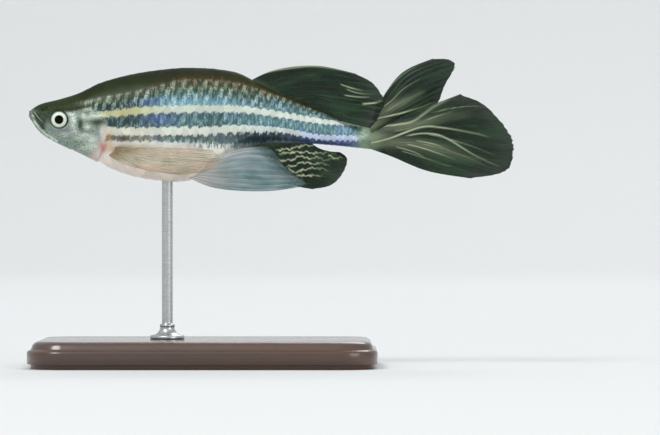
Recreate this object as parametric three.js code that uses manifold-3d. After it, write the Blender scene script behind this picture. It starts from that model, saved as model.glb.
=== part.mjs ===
// A longfin zebra danio, life size, in a level swimming pose on a plain display stand.
// Millimetres, +Z up. The fish looks towards -X, so that its left side faces -Y.
// The origin is the middle of the stand base's underside. The fish itself is drawn from its snout tip:
// x runs back towards the tail, z is the height above the snout tip, and y is 0 on the mid plane.
import * as THREE from "three";
import { mergeVertices } from "three/addons/utils/BufferGeometryUtils.js";
import Module from "manifold-3d";

const wasm = await Module();
wasm.setup();

// ---------- driving dimensions ----------
const GAP = 0.3; // between one piece and the next
const STANDARD_LENGTH = 37.3; // snout tip to the end of the tail stem
const SNOUT_HEIGHT = 28; // of the snout tip over the floor
const SNOUT_BEHIND_CENTRE = 19.5; // from the middle of the stand base forward to the snout tip
const TAIL_BEND = 0.9; // how far the tail stem's end swings to the right side
const BEND_START = 20; // where that swing begins
const BODY_RINGS = 56;
const BODY_SIDES = 34;

// The body's outline at each station: distance from the snout, back, belly, half width, and the level where it is widest.
const STATIONS = [
  [0.0, 0.0, 0.0, 0.0, 0.0],
  [0.25, 0.3, -0.8, 0.62, -0.2],
  [1.4, 1.0, -2.4, 1.22, -0.6],
  [3.6, 1.55, -3.7, 1.78, -1.0],
  [5.8, 2.25, -4.65, 2.12, -1.2],
  [8.0, 3.3, -5.75, 2.38, -1.3],
  [10.8, 4.1, -6.9, 2.72, -1.5],
  [13.5, 4.6, -7.5, 2.98, -1.9],
  [16.8, 4.95, -7.75, 3.02, -2.0],
  [19.0, 4.95, -7.2, 2.86, -1.6],
  [21.2, 4.8, -6.05, 2.56, -1.1],
  [23.4, 4.35, -4.5, 2.2, -0.6],
  [25.8, 3.1, -3.6, 1.78, -0.5],
  [30.0, 1.2, -3.5, 1.25, -1.2],
  [34.4, -0.6, -3.8, 0.85, -2.2],
  [37.3, -1.45, -4.1, 0.5, -2.8],
];

// Lines on the head and body, as seen from the side: [x, z].
const MOUTH_LINE = [[-0.6, 0.5], [0.08, -0.02], [0.5, -0.55], [1.0, -1.1], [1.5, -1.55], [1.95, -1.95]];
const JAW_END = [[2.35, -2.45], [2.6, -3.2], [2.75, -4.4]];
const GILL_OPENING = [[6.6, 5.2], [7.3, 3.2], [8.1, 1.6], [8.7, 0.2], [8.95, -1.2], [8.9, -2.6],
  [8.55, -4.0], [7.8, -5.3], [6.9, -7.0]];
const GILL_COVER = [[6.2, 0.1], [7.6, 0.85], [9.1, 0.9], [9.6, -1.2], [9.5, -3.2], [8.7, -4.9],
  [7.6, -5.25], [6.4, -4.6], [5.65, -3.1], [5.45, -1.4]];
const STEM_CUT = [[31.6, 3], [31.9, 0.2], [32.1, -1.7], [31.9, -3.4], [31.6, -6]];
const GILL_PLATE = 0.5; // thickness of a gill cover

const EYE = { x: 3.58, z: -0.83, radius: 1.0, depth: 0.62, y: 1.3 };
const ORBIT_RIM = 0.13;
const LIP = { radius: 0.23, corner: 0.12, apart: 0.32 };
const NOSTRILS = [[1.72, 0.2, 0.15], [2.12, 0.42, 0.17]]; // x, z and radius of each pair

// ---------- solids from geometries ----------
// A closed mesh as a solid, turned to face out if its faces point in. Points closer than the tolerance become one.
function solidOf(geometry, tolerance = 1e-4) {
  const plain = geometry.clone();
  plain.deleteAttribute("normal");
  plain.deleteAttribute("uv");
  const merged = mergeVertices(plain, tolerance);
  const corners = [];
  const index = merged.index.array;
  for (let i = 0; i < index.length; i += 3) {
    const [a, b, c] = [index[i], index[i + 1], index[i + 2]];
    if (a !== b && b !== c && c !== a) corners.push(a, b, c);
  }
  const build = (triVerts) => new wasm.Manifold(new wasm.Mesh({
    numProp: 3, vertProperties: merged.attributes.position.array, triVerts: new Uint32Array(triVerts) }));
  const made = build(corners);
  return made.volume() > 0 ? made : build(corners.reverse());
}

function geometryOf(solid) {
  const mesh = solid.getMesh();
  const geometry = new THREE.BufferGeometry();
  geometry.setAttribute("position", new THREE.BufferAttribute(new Float32Array(mesh.vertProperties), 3));
  geometry.setIndex(new THREE.BufferAttribute(new Uint32Array(mesh.triVerts), 1));
  geometry.computeVertexNormals();
  return geometry;
}

function largestOf(solid) {
  return solid.decompose().sort((a, b) => b.volume() - a.volume())[0];
}

function join(solids) {
  return wasm.Manifold.union(solids);
}

// ---------- curves through given points ----------
// A smooth value at t through (knots, values), with the slope at each knot taken from its neighbours.
function smoothThrough(knots, values, t) {
  const last = knots.length - 1;
  let i = 0;
  while (i < last - 1 && t > knots[i + 1]) i += 1;
  const slope = (k) => {
    const a = Math.max(k - 1, 0);
    const b = Math.min(k + 1, last);
    return (values[b] - values[a]) / (knots[b] - knots[a]);
  };
  const width = knots[i + 1] - knots[i];
  const s = Math.min(Math.max((t - knots[i]) / width, 0), 1);
  const [s2, s3] = [s * s, s * s * s];
  return (2 * s3 - 3 * s2 + 1) * values[i] + (s3 - 2 * s2 + s) * width * slope(i)
    + (3 * s2 - 2 * s3) * values[i + 1] + (s3 - s2) * width * slope(i + 1);
}

const even = (count) => Array.from({ length: count }, (_, i) => i / (count - 1));
const ease = (t) => {
  const s = Math.min(Math.max(t, 0), 1);
  return s * s * (3 - 2 * s);
};

// The points of a side view line, spaced evenly along a smooth curve through the given ones.
function sideLine(points, count, closed = false) {
  const curve = new THREE.CatmullRomCurve3(points.map(([x, z]) => new THREE.Vector3(x, 0, z)), closed);
  return curve.getSpacedPoints(count).map((p) => [p.x, p.z]);
}

// A side view line moved sideways by a distance, to its left when walked along.
function shifted(line, distance, closed = false) {
  const n = line.length;
  return line.map((p, i) => {
    const before = closed ? line[(i + n - 1) % n] : line[Math.max(i - 1, 0)];
    const after = closed ? line[(i + 1) % n] : line[Math.min(i + 1, n - 1)];
    const [dx, dz] = [after[0] - before[0], after[1] - before[1]];
    const length = Math.hypot(dx, dz);
    return [p[0] - (dz / length) * distance, p[1] + (dx / length) * distance];
  });
}

// A side view outline made solid from one y to another.
function prism(outline, fromY, toY) {
  const shape = new THREE.Shape(outline.map(([x, z]) => new THREE.Vector2(x, z)));
  const geometry = new THREE.ExtrudeGeometry(shape, { depth: toY - fromY, bevelEnabled: false });
  geometry.rotateX(Math.PI / 2); // the extrusion now runs towards -Y
  geometry.translate(0, toY, 0);
  return solidOf(geometry);
}

// A thin cut along a side view line, through the whole width of the body.
function thinCut(points) {
  const line = sideLine(points, points.length * 3);
  return prism([...shifted(line, GAP / 2), ...shifted(line, -GAP / 2).reverse()], -10, 10);
}

// ---------- the body ----------
const knots = STATIONS.map(([x]) => Math.sqrt(x / STANDARD_LENGTH)); // closer together at the round snout
const column = (k) => STATIONS.map((row) => row[k]);
const [BACK, BELLY, HALF_WIDTH, WIDEST] = [1, 2, 3, 4].map(column);

function sectionAt(x) {
  const t = Math.sqrt(Math.max(x, 0) / STANDARD_LENGTH);
  return {
    back: smoothThrough(knots, BACK, t),
    belly: smoothThrough(knots, BELLY, t),
    half: smoothThrough(knots, HALF_WIDTH, t),
    widest: smoothThrough(knots, WIDEST, t),
  };
}

const middleAt = (x) => TAIL_BEND * Math.max((x - BEND_START) / (STANDARD_LENGTH - BEND_START), 0) ** 2;

// A point of the skin: angle 0 is the ridge of the back, and pi the keel of the belly.
function skinPoint(x, angle, inset = 0) {
  const { back, belly, half, widest } = sectionAt(x);
  const [c, s] = [Math.cos(angle), Math.sin(angle)];
  const height = c > 0 ? back - inset - widest : widest - belly - inset;
  const y = middleAt(x) + Math.sign(s) * (half - inset) * Math.abs(s) ** 0.92;
  return new THREE.Vector3(x, y, widest + height * c);
}

// How far the skin is from the mid plane at a place in the side view, 0 outside the body.
function sideAt(x, z) {
  const { back, belly, half, widest } = sectionAt(x);
  const share = z > widest ? (z - widest) / (back - widest) : (widest - z) / (widest - belly);
  return share >= 1 ? 0 : half * (1 - share * share) ** 0.46;
}

// A place over the skin of one side, at a distance along the skin's normal.
function overSkin(x, z, side, distance) {
  const step = 0.03;
  const slopeX = (sideAt(x + step, z) - sideAt(x - step, z)) / (2 * step);
  const slopeZ = (sideAt(x, z + step) - sideAt(x, z - step)) / (2 * step);
  const normal = new THREE.Vector3(-slopeX, side, -slopeZ).normalize();
  return new THREE.Vector3(x, side * sideAt(x, z), z).addScaledVector(normal, distance);
}

// A closed mesh from loops of points, with a fan to a middle point at each end.
function loft(loops, start, end) {
  const sides = loops[0].length;
  const points = [start, ...loops.flat(), end];
  const at = (i, j) => 1 + i * sides + (j % sides);
  const faces = [];
  for (let j = 0; j < sides; j += 1) {
    faces.push(0, at(0, j), at(0, j + 1));
    faces.push(points.length - 1, at(loops.length - 1, j + 1), at(loops.length - 1, j));
    for (let i = 0; i < loops.length - 1; i += 1) {
      faces.push(at(i, j), at(i + 1, j), at(i + 1, j + 1));
      faces.push(at(i, j), at(i + 1, j + 1), at(i, j + 1));
    }
  }
  const geometry = new THREE.BufferGeometry().setFromPoints(points);
  geometry.setIndex(faces);
  return solidOf(geometry);
}

// The whole body, grown outwards along its normals by a distance.
function wholeBody(grow = 0, rings = BODY_RINGS, sides = BODY_SIDES) {
  const loops = [];
  for (let i = 1; i <= rings; i += 1) {
    const x = STANDARD_LENGTH * (i / rings) ** 2;
    const loop = [];
    for (let j = 0; j < sides; j += 1) {
      const angle = (2 * Math.PI * j) / sides;
      const p = skinPoint(x, angle);
      const along = skinPoint(Math.min(x + 0.02, STANDARD_LENGTH), angle)
        .sub(skinPoint(Math.max(x - 0.02, 0.001), angle));
      const around = skinPoint(x, angle + 0.01).sub(skinPoint(x, angle - 0.01));
      loop.push(p.addScaledVector(around.cross(along).normalize(), -grow));
    }
    loops.push(loop);
  }
  const tail = skinPoint(STANDARD_LENGTH, 0);
  const end = new THREE.Vector3(STANDARD_LENGTH + grow, middleAt(STANDARD_LENGTH), tail.z - 1.3);
  return loft(loops, new THREE.Vector3(-grow, 0, 0), end);
}

// A stretch of the body under its skin, with flat ends.
function bodyCore(fromX, toX, inset, rings = 14, sides = 24) {
  const loops = even(rings).map((t) => Array.from({ length: sides },
    (_, j) => skinPoint(fromX + (toX - fromX) * t, (2 * Math.PI * j) / sides, inset)));
  const middle = (x) => new THREE.Vector3(x, middleAt(x), sectionAt(x).widest);
  return loft(loops, middle(fromX), middle(toX));
}

// A round tube that tapers along a line of points, closed at both ends.
function taperedTube(points, radiusAt, sides = 6) {
  const curve = new THREE.CatmullRomCurve3(points);
  const steps = points.length - 1;
  const frames = curve.computeFrenetFrames(steps, false);
  const loops = even(points.length).map((t, i) => {
    const p = curve.getPoint(t);
    return Array.from({ length: sides }, (_, j) => {
      const angle = (2 * Math.PI * j) / sides;
      return p.clone()
        .addScaledVector(frames.normals[i], radiusAt(t) * Math.cos(angle))
        .addScaledVector(frames.binormals[i], radiusAt(t) * Math.sin(angle));
    });
  });
  return loft(loops, points[0], points[steps]);
}

// ---------- the head's own forms ----------
// A lip: a ridge that follows the mouth from one corner round the snout tip to the other, above or below its line.
function lip(above) {
  const line = new THREE.CatmullRomCurve3(MOUTH_LINE.slice(1).map(([x, z]) => new THREE.Vector3(x, 0, z)));
  const points = even(21).map((t) => {
    const across = 2 * t - 1; // -1 and 1 at the corners, 0 on the snout tip
    const along = 0.04 + 0.96 * across * across;
    const p = line.getPoint(along);
    const forward = line.getTangent(along);
    const x = p.x - above * LIP.apart * forward.z;
    const z = p.z + above * LIP.apart * forward.x;
    const rounding = Math.sin(Math.min(Math.abs(across) / 0.5, 1) * Math.PI / 2);
    const reach = above > 0 ? 1.04 : 0.86;
    return new THREE.Vector3(x, Math.sign(across) * sideAt(p.x, p.z) * reach * rounding, z);
  });
  return taperedTube(points, (t) => LIP.corner + (LIP.radius - LIP.corner) * Math.sin(Math.PI * t));
}

// A ball stretched along y, for an eye, its socket or a nostril.
function ball(x, y, z, radius, depth, segments) {
  const geometry = new THREE.SphereGeometry(1, segments, Math.round(segments * 0.7));
  geometry.scale(radius, depth, radius);
  geometry.translate(x, y, z);
  return solidOf(geometry);
}

// The rim round an eye: a ring that follows the skin.
function orbitRim(side) {
  const radius = EYE.radius + GAP + ORBIT_RIM / 2;
  const ring = Array.from({ length: 20 }, (_, k) => {
    const angle = (2 * Math.PI * k) / 20;
    return overSkin(EYE.x + radius * Math.cos(angle), EYE.z + radius * Math.sin(angle), side, 0);
  });
  return solidOf(new THREE.TubeGeometry(new THREE.CatmullRomCurve3(ring, true), 22, ORBIT_RIM, 5, true));
}

function eyeSocket(side) {
  return ball(EYE.x, side * EYE.y, EYE.z, EYE.radius + GAP + 0.04, EYE.depth + GAP + 0.04, 18);
}

// The eye: a flattened ball with a low dome over the pupil.
function eyeball(side) {
  const back = [-1, -0.85, -0.45, 0, 0.3].map((t) => [EYE.radius * Math.sqrt(1 - t * t), EYE.depth * t]);
  const front = [[0.8, 0.36], [0.52, 0.47], [0.42, 0.54], [0.22, 0.61], [0, 0.62]];
  const profile = [...back, ...front].map(([r, y]) => new THREE.Vector2(Math.max(r, 0), y));
  const geometry = new THREE.LatheGeometry(profile, 18);
  if (side < 0) geometry.rotateX(Math.PI);
  geometry.translate(EYE.x, side * EYE.y, EYE.z);
  return solidOf(geometry);
}

// ---------- fins ----------
// A fin is a sheet between guide lines, each given by four places from its root to its tip.
// It carries rays as ridges on both faces, and thins out at its free edge.
const FIN = { half: 0.25, edge: 0.13, ridge: 0.13, ridgeWidth: 0.3, crowding: 1.3 };

// A place on the fin: u runs from root to tip, v across the guide lines.
function onFin(guides, u, v) {
  const steps = even(4);
  const across = even(guides.length);
  const along = (k) => smoothThrough(across, guides.map((g) => smoothThrough(steps, g.map((p) => p[k]), u)), v);
  return [along(0), along(1)];
}

function finSolid({ guides, rays, rows, sideways }) {
  const placed = (u, v) => {
    const [x, z] = onFin(guides, u, v);
    return new THREE.Vector3(x, sideways(u, v, x, z), z);
  };
  // Each ray has a crest between two feet, and the first and last rays are the fin's own edges.
  const spacing = 1 / (rays - 1);
  const columns = [];
  for (let k = 0; k < rays; k += 1) {
    if (k > 0) columns.push([(k - FIN.ridgeWidth) * spacing, 0]);
    columns.push([k * spacing, 1]);
    if (k < rays - 1) columns.push([(k + FIN.ridgeWidth) * spacing, 0]);
  }
  const [front, back] = [[], []];
  for (const t of even(rows)) {
    const u = t ** FIN.crowding;
    for (const [v, crest] of columns) {
      const p = placed(u, v);
      const step = 0.01;
      const du = placed(Math.min(u + step, 1), v).sub(placed(Math.max(u - step, 0), v));
      const dv = placed(u, Math.min(v + step, 1)).sub(placed(u, Math.max(v - step, 0)));
      const normal = du.cross(dv).normalize();
      const membrane = FIN.half + (FIN.edge - FIN.half) * ease((u - 0.7) / 0.3);
      const half = membrane + crest * FIN.ridge * (1 - 0.6 * u);
      front.push(p.clone().addScaledVector(normal, half));
      back.push(p.addScaledVector(normal, -half));
    }
  }
  return sheetSolid(front, back, rows, columns.length);
}

// A closed mesh between two like grids of points, split into triangles alike on both faces.
function sheetSolid(front, back, rows, columns) {
  const count = rows * columns;
  const at = (i, j) => i * columns + j;
  const faces = [];
  for (let i = 0; i < rows - 1; i += 1) {
    for (let j = 0; j < columns - 1; j += 1) {
      const [a, b, c, d] = [at(i, j), at(i, j + 1), at(i + 1, j + 1), at(i + 1, j)];
      faces.push(a, b, c, a, c, d);
      faces.push(count + a, count + c, count + b, count + a, count + d, count + c);
    }
  }
  const rim = [];
  for (let j = 0; j < columns - 1; j += 1) rim.push(at(0, j));
  for (let i = 0; i < rows - 1; i += 1) rim.push(at(i, columns - 1));
  for (let j = columns - 1; j > 0; j -= 1) rim.push(at(rows - 1, j));
  for (let i = rows - 1; i > 0; i -= 1) rim.push(at(i, 0));
  rim.forEach((a, k) => {
    const b = rim[(k + 1) % rim.length];
    faces.push(b, a, count + a, b, count + a, count + b);
  });
  const geometry = new THREE.BufferGeometry().setFromPoints([...front, ...back]);
  geometry.setIndex(faces);
  return solidOf(geometry);
}

// The long fin on the back. Its rays start inside the back and sweep to the left of the tail fin.
const DORSAL = {
  rays: 9,
  rows: 12,
  guides: [
    [[24.1, 3.3], [27.4, 4.7], [32.0, 5.1], [37.1, 4.0]],
    [[25.4, 2.3], [29.4, 3.5], [34.0, 3.45], [38.5, 2.8]],
    [[26.8, 1.6], [30.5, 2.3], [34.8, 1.85], [39.5, 1.1]],
    [[28.2, 1.0], [31.2, 1.5], [34.9, 0.8], [39.1, 0.1]],
    [[29.6, 0.4], [31.8, 0.75], [34.7, -0.7], [37.7, -1.4]],
  ],
  sideways: (u, v, x) => middleAt(Math.min(x, 30)) - 1.5 * u * u + 0.12 * Math.sin(7 * v + 2 * u) * u,
};

// The fin behind the vent.
const ANAL = {
  rays: 12,
  rows: 9,
  guides: [
    [[23.9, -3.5], [25.9, -6.0], [28.9, -7.9], [32.0, -8.6]],
    [[25.5, -2.9], [28.0, -5.4], [30.8, -7.1], [33.8, -7.9]],
    [[27.3, -2.8], [29.9, -4.8], [32.2, -5.9], [34.9, -6.6]],
    [[28.9, -2.8], [31.0, -4.2], [33.1, -4.9], [35.3, -5.2]],
    [[30.5, -2.8], [32.0, -3.9], [33.3, -4.3], [34.6, -4.4]],
  ],
  sideways: (u, v, x) => middleAt(x) * (1 - u) + 0.15 * Math.sin(6 * v + 3 * u) * u,
};

// The two lobes of the tail fin start at the end of the tail stem and curl away to the right and left.
const TAIL_ROOT = STANDARD_LENGTH + GAP + 0.1;
const UPPER_LOBE = {
  rays: 8,
  rows: 13,
  guides: [
    [[TAIL_ROOT, -1.55], [38.7, 0.9], [41.3, 4.4], [45.5, 6.3]],
    [[TAIL_ROOT, -1.8], [39.5, 0.4], [42.7, 3.5], [47.3, 5.4]],
    [[TAIL_ROOT, -2.05], [40.0, -0.3], [43.2, 1.6], [46.1, 3.0]],
    [[TAIL_ROOT, -2.35], [40.3, -1.1], [42.8, 0.0], [45.2, 1.3]],
  ],
  sideways: (u, v) => TAIL_BEND + 1.1 * u + 0.25 * Math.sin(5 * v + 4 * u) * u,
};
const LOWER_LOBE = {
  rays: 9,
  rows: 13,
  guides: [
    [[TAIL_ROOT, -2.75], [40.9, -1.6], [44.2, 0.25], [48.6, 2.35]],
    [[TAIL_ROOT, -3.0], [41.7, -2.1], [46.3, -0.7], [51.2, 0.2]],
    [[TAIL_ROOT, -3.25], [42.1, -2.6], [47.6, -2.1], [53.4, -2.6]],
    [[TAIL_ROOT, -3.5], [42.1, -3.2], [47.3, -3.7], [53.7, -4.7]],
    [[TAIL_ROOT, -3.75], [41.6, -3.9], [46.6, -5.1], [52.9, -6.5]],
    [[TAIL_ROOT, -4.0], [40.2, -4.9], [44.2, -6.5], [49.5, -7.4]],
  ],
  sideways: (u, v) => TAIL_BEND + 0.5 * u - 1.5 * u * u + 0.3 * Math.sin(4 * v - 3 * u) * u,
};

// The fin under the belly, and the one behind the gill cover. Both are drawn for the right side.
const PELVIC = {
  rays: 8,
  rows: 10,
  guides: [
    [[17.2, -7.0], [20.7, -8.35], [25.9, -8.7], [31.0, -8.15]],
    [[17.4, -6.9], [21.6, -7.55], [26.3, -7.75], [30.7, -7.6]],
    [[17.6, -6.8], [21.4, -6.6], [25.6, -6.5], [29.4, -6.8]],
    [[17.8, -6.7], [21.0, -5.65], [24.6, -5.0], [28.1, -5.5]],
    [[18.0, -6.6], [20.6, -5.2], [23.5, -4.1], [26.9, -3.75]],
  ],
  sideways: (u, v) => 0.95 + (0.5 + 0.45 * v) * ease(u / 0.35) + 0.35 * u,
};
const PECTORAL = {
  rays: 10,
  rows: 9,
  guides: [
    [[9.1, -3.85], [13.1, -3.95], [17.2, -4.0], [21.3, -4.3]],
    [[9.1, -4.05], [13.1, -4.7], [17.3, -5.15], [21.5, -5.5]],
    [[9.05, -4.3], [12.4, -5.4], [16.4, -6.05], [20.4, -6.5]],
    [[9.0, -4.5], [11.4, -5.55], [14.4, -6.4], [17.6, -6.95]],
    [[8.95, -4.7], [10.2, -5.5], [12.1, -6.15], [14.2, -6.6]],
  ],
  sideways: (u, v, x) => sideAt(x, -4.2) - 0.7 + 1.35 * ease(u / 0.12) + 0.9 * u,
};

function mirrored(fin) {
  return { ...fin, sideways: (u, v, x, z) => -fin.sideways(u, v, x, z) };
}

// ---------- barbels ----------
// A feeler that lies back along the head, just clear of its skin.
const FEELER = { root: 0.25, tip: 0.1 };
const JAW_FEELER = [[2.05, -1.75], [2.6, -2.35], [3.4, -2.85], [4.4, -3.2], [5.3, -3.45]];
const SNOUT_FEELER = [[0.75, 0.05], [1.05, -0.3], [1.4, -0.75], [1.8, -1.15]];

function feeler(line, side) {
  const clear = GAP + FEELER.root;
  const points = sideLine(line, 8).map(([x, z]) => overSkin(x, z, side, clear + 0.03));
  const radius = (t) => FEELER.root + (FEELER.tip - FEELER.root) * t;
  return taperedTube(points, (t) => radius(t) * (t > 0 && t < 1 ? 1 : 0.6));
}

// ---------- the stand ----------
const BASE = { length: 38, width: 24, height: 3, corner: 4, bevel: 0.35 };
const ROD = { x: 15.4, radius: 0.6, foot: 1.9, into: 1.2 };

function standBase() {
  const [a, b, r] = [BASE.length / 2 - BASE.bevel, BASE.width / 2 - BASE.bevel, BASE.corner - BASE.bevel];
  const shape = new THREE.Shape();
  shape.absarc(a - r, b - r, r, 0, Math.PI / 2);
  shape.absarc(r - a, b - r, r, Math.PI / 2, Math.PI);
  shape.absarc(r - a, r - b, r, Math.PI, 1.5 * Math.PI);
  shape.absarc(a - r, r - b, r, 1.5 * Math.PI, 2 * Math.PI);
  const geometry = new THREE.ExtrudeGeometry(shape, {
    depth: BASE.height - 2 * BASE.bevel, bevelThickness: BASE.bevel, bevelSize: BASE.bevel,
    bevelSegments: 1, curveSegments: 6 });
  geometry.translate(0, 0, BASE.bevel);
  return solidOf(geometry);
}

const ROD_TOP = sectionAt(ROD.x).belly + ROD.into;

// The rod, with a screwed foot under it: it goes up into a socket in the belly.
function standRod() {
  const foot = BASE.height + GAP - SNOUT_HEIGHT;
  const profile = [[0, foot], [ROD.foot, foot], [ROD.foot, foot + 0.45], [ROD.foot - 0.2, foot + 0.65],
    [1.0, foot + 0.8], [ROD.radius, foot + 1.3], [ROD.radius, ROD_TOP - 0.15], [ROD.radius - 0.15, ROD_TOP], [0, ROD_TOP]];
  const geometry = new THREE.LatheGeometry(profile.map(([r, z]) => new THREE.Vector2(r, z)), 20);
  geometry.rotateX(Math.PI / 2);
  geometry.translate(ROD.x, 0, 0);
  return solidOf(geometry);
}

function rodSocket() {
  const geometry = new THREE.CylinderGeometry(ROD.radius + GAP, ROD.radius + GAP, 4, 20);
  geometry.rotateX(Math.PI / 2);
  geometry.translate(ROD.x, 0, ROD_TOP + GAP - 2);
  return solidOf(geometry);
}

// ---------- parting the body ----------
function bodyPieces() {
  const forms = [wholeBody(), lip(1), lip(-1), orbitRim(1), orbitRim(-1)];
  const sockets = [eyeSocket(1), eyeSocket(-1)];
  const nostrils = NOSTRILS.flatMap(([x, z, r]) =>
    [1, -1].map((side) => ball(x, side * sideAt(x, z), z, r, 0.28, 8)));
  const whole = join(forms).subtract(join([...sockets, ...nostrils, rodSocket()]));

  const parted = whole.subtract(join([thinCut(GILL_OPENING), thinCut(STEM_CUT)])).decompose();
  const middleX = (solid) => (solid.boundingBox().min[0] + solid.boundingBox().max[0]) / 2;
  const [front, trunk, stem] = parted.filter((s) => s.volume() > 1).sort((a, b) => middleX(a) - middleX(b));

  // The gill covers are plates of the head's own sides.
  const outline = sideLine(GILL_COVER, 40, true).slice(0, -1);
  const under = bodyCore(4.2, 9.6, GILL_PLATE);
  const core = bodyCore(4.2, 9.6, GILL_PLATE + GAP);
  const shell = front.subtract(under);
  const covers = [1, -1].map((side) => {
    const range = (from) => (side > 0 ? [from, 10] : [-10, -from]);
    const wide = prism(outline, ...range(0.5)).subtract(core);
    const plate = prism(shifted(outline, -GAP, true), ...range(0.5 + GAP));
    return { wide, plate: largestOf(shell.intersect(plate)) };
  });
  const head = front.subtract(join(covers.map((c) => c.wide)));

  // The lower jaw parts from the head along the line of the mouth and then down to the throat.
  const jawCut = thinCut([...MOUTH_LINE, ...JAW_END]);
  const [skull, jaw] = head.subtract(jawCut).decompose().sort((a, b) => b.volume() - a.volume());
  return { skull, jaw, trunk, stem, covers: covers.map((c) => c.plate) };
}

// ---------- materials ----------
function finish(color, roughness, metalness = 0) {
  return new THREE.MeshStandardMaterial({ color, roughness, metalness });
}

const SILVER_SKIN = finish(0xb9c6bb, 0.35, 0.25);
const STRIPED_SKIN = finish(0x4f8590, 0.35, 0.25);
const FIN_SKIN = finish(0x6f8577, 0.45);
const PALE_FIN = finish(0xa9bdba, 0.45);
const EYE_FINISH = finish(0xe6ebdc, 0.12);
const STEEL = finish(0xb8babd, 0.3, 1);
const BLACK_BASE = finish(0x1d1e20, 0.45);

// ---------- the whole model ----------
const fish = new THREE.Group();
fish.position.set(-SNOUT_BEHIND_CENTRE, 0, SNOUT_HEIGHT);
const model = new THREE.Group();
model.add(fish);

function add(group, name, solid, material) {
  const simple = largestOf(solid.simplify(0.01));
  const clean = solidOf(geometryOf(simple), 1e-3);
  const mesh = new THREE.Mesh(geometryOf(clean), material);
  mesh.name = name;
  group.add(mesh);
}

const pieces = bodyPieces();
add(fish, "head", pieces.skull, SILVER_SKIN);
add(fish, "lower_jaw", pieces.jaw, SILVER_SKIN);
add(fish, "trunk", pieces.trunk, STRIPED_SKIN);
add(fish, "tail_stem", pieces.stem, STRIPED_SKIN);

const clearOfBody = wholeBody(GAP, 44, 30);
add(fish, "dorsal_fin", finSolid(DORSAL).subtract(clearOfBody), FIN_SKIN);
add(fish, "anal_fin", finSolid(ANAL).subtract(clearOfBody), FIN_SKIN);
add(fish, "tail_fin_upper", finSolid(UPPER_LOBE), FIN_SKIN);
add(fish, "tail_fin_lower", finSolid(LOWER_LOBE), FIN_SKIN);

[["right", 1], ["left", -1]].forEach(([word, side], k) => {
  const sided = (fin) => (side > 0 ? fin : mirrored(fin));
  add(fish, `gill_cover_${word}`, pieces.covers[k], SILVER_SKIN);
  add(fish, `eye_${word}`, eyeball(side), EYE_FINISH);
  add(fish, `pectoral_fin_${word}`, finSolid(sided(PECTORAL)).subtract(clearOfBody), PALE_FIN);
  add(fish, `pelvic_fin_${word}`, finSolid(sided(PELVIC)).subtract(clearOfBody), PALE_FIN);
  add(fish, `barbel_jaw_${word}`, feeler(JAW_FEELER, side), SILVER_SKIN);
  add(fish, `barbel_snout_${word}`, feeler(SNOUT_FEELER, side), SILVER_SKIN);
});

add(model, "stand_base", standBase(), BLACK_BASE);
add(fish, "stand_rod", standRod(), STEEL);

export default model;
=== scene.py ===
import math
import bpy
import numpy as np
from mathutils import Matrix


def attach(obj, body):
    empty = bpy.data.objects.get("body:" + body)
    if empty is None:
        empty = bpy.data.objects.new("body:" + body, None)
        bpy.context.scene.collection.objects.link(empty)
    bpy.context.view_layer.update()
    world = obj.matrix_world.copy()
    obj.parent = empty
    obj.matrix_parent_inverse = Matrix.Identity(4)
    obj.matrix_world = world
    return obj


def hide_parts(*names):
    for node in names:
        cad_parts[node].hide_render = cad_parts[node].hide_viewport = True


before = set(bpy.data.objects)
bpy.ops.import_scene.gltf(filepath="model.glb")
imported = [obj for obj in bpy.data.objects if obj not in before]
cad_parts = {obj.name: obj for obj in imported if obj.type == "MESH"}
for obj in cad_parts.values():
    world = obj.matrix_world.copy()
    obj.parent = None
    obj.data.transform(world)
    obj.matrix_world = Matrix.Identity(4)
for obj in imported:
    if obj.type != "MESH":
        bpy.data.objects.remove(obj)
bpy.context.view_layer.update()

# The camera stands level in front of the model's left side, as the photograph was taken.
# One pixel of the 660 pixel wide frame covers 0.11 mm at the fish.
MM = 0.001
PIXEL = 0.11
FRAME_PIXELS = (660, 435)
SNOUT_PIXEL = (27, 112)
SNOUT_PLACE = np.array([-19.5, 0.0, 28.0])
CAMERA_DISTANCE = 450
SHARP_PLACE = -0.9
SENSOR = 36


def at_pixel(px, py):
    """Fish millimetres at a photograph pixel: x back from the snout tip, z up from it."""
    return (np.asarray(px) - SNOUT_PIXEL[0]) * PIXEL, (SNOUT_PIXEL[1] - np.asarray(py)) * PIXEL


def placed(points):
    """Frame metres of points given in fish millimetres: the snout's place is added, then scaled."""
    return (np.asarray(points) + SNOUT_PLACE) * MM


view_x, view_z = at_pixel(FRAME_PIXELS[0] / 2, FRAME_PIXELS[1] / 2)
camera_data = bpy.data.cameras.new("camera")
camera_data.sensor_width = SENSOR
camera_data.lens = SENSOR * (CAMERA_DISTANCE + SHARP_PLACE) / (FRAME_PIXELS[0] * PIXEL)
camera_data.clip_start = 0.01
camera_data.clip_end = 10
camera = bpy.data.objects.new("camera", camera_data)
camera.location = placed([view_x, -CAMERA_DISTANCE, view_z])
camera.rotation_euler = (math.radians(90), 0, 0)
bpy.context.collection.objects.link(camera)
bpy.context.scene.camera = camera

# The studio is one pale sweep: a round floor that rises in a wide curve to a low wall all round.
# It is painted matt card, far enough out that every side of the model can be looked at.
FLOOR_RINGS = (0.2, 0.5)
FLOOR_RADIUS = 0.75
SWEEP_RADIUS = 0.6
SWEEP_TOP = 0.9
SWEEP_STEPS, SWEEP_SIDES = 24, 96
SKY_COLOUR, SKY_STRENGTH = (0.93, 0.96, 1.0, 1.0), 0.78
LIT_PLACE = [16, 0, 0]
LIGHTS = (  # name, place in metres, size in metres, power in watts
    ("key_light", (-0.50, -0.74, 1.02), 0.54, 8.5),
    ("fill_light", (0.70, -0.70, 0.36), 0.60, 2.4),
    ("back_light", (0.24, 0.74, 0.84), 0.60, 4.0),
)


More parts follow.
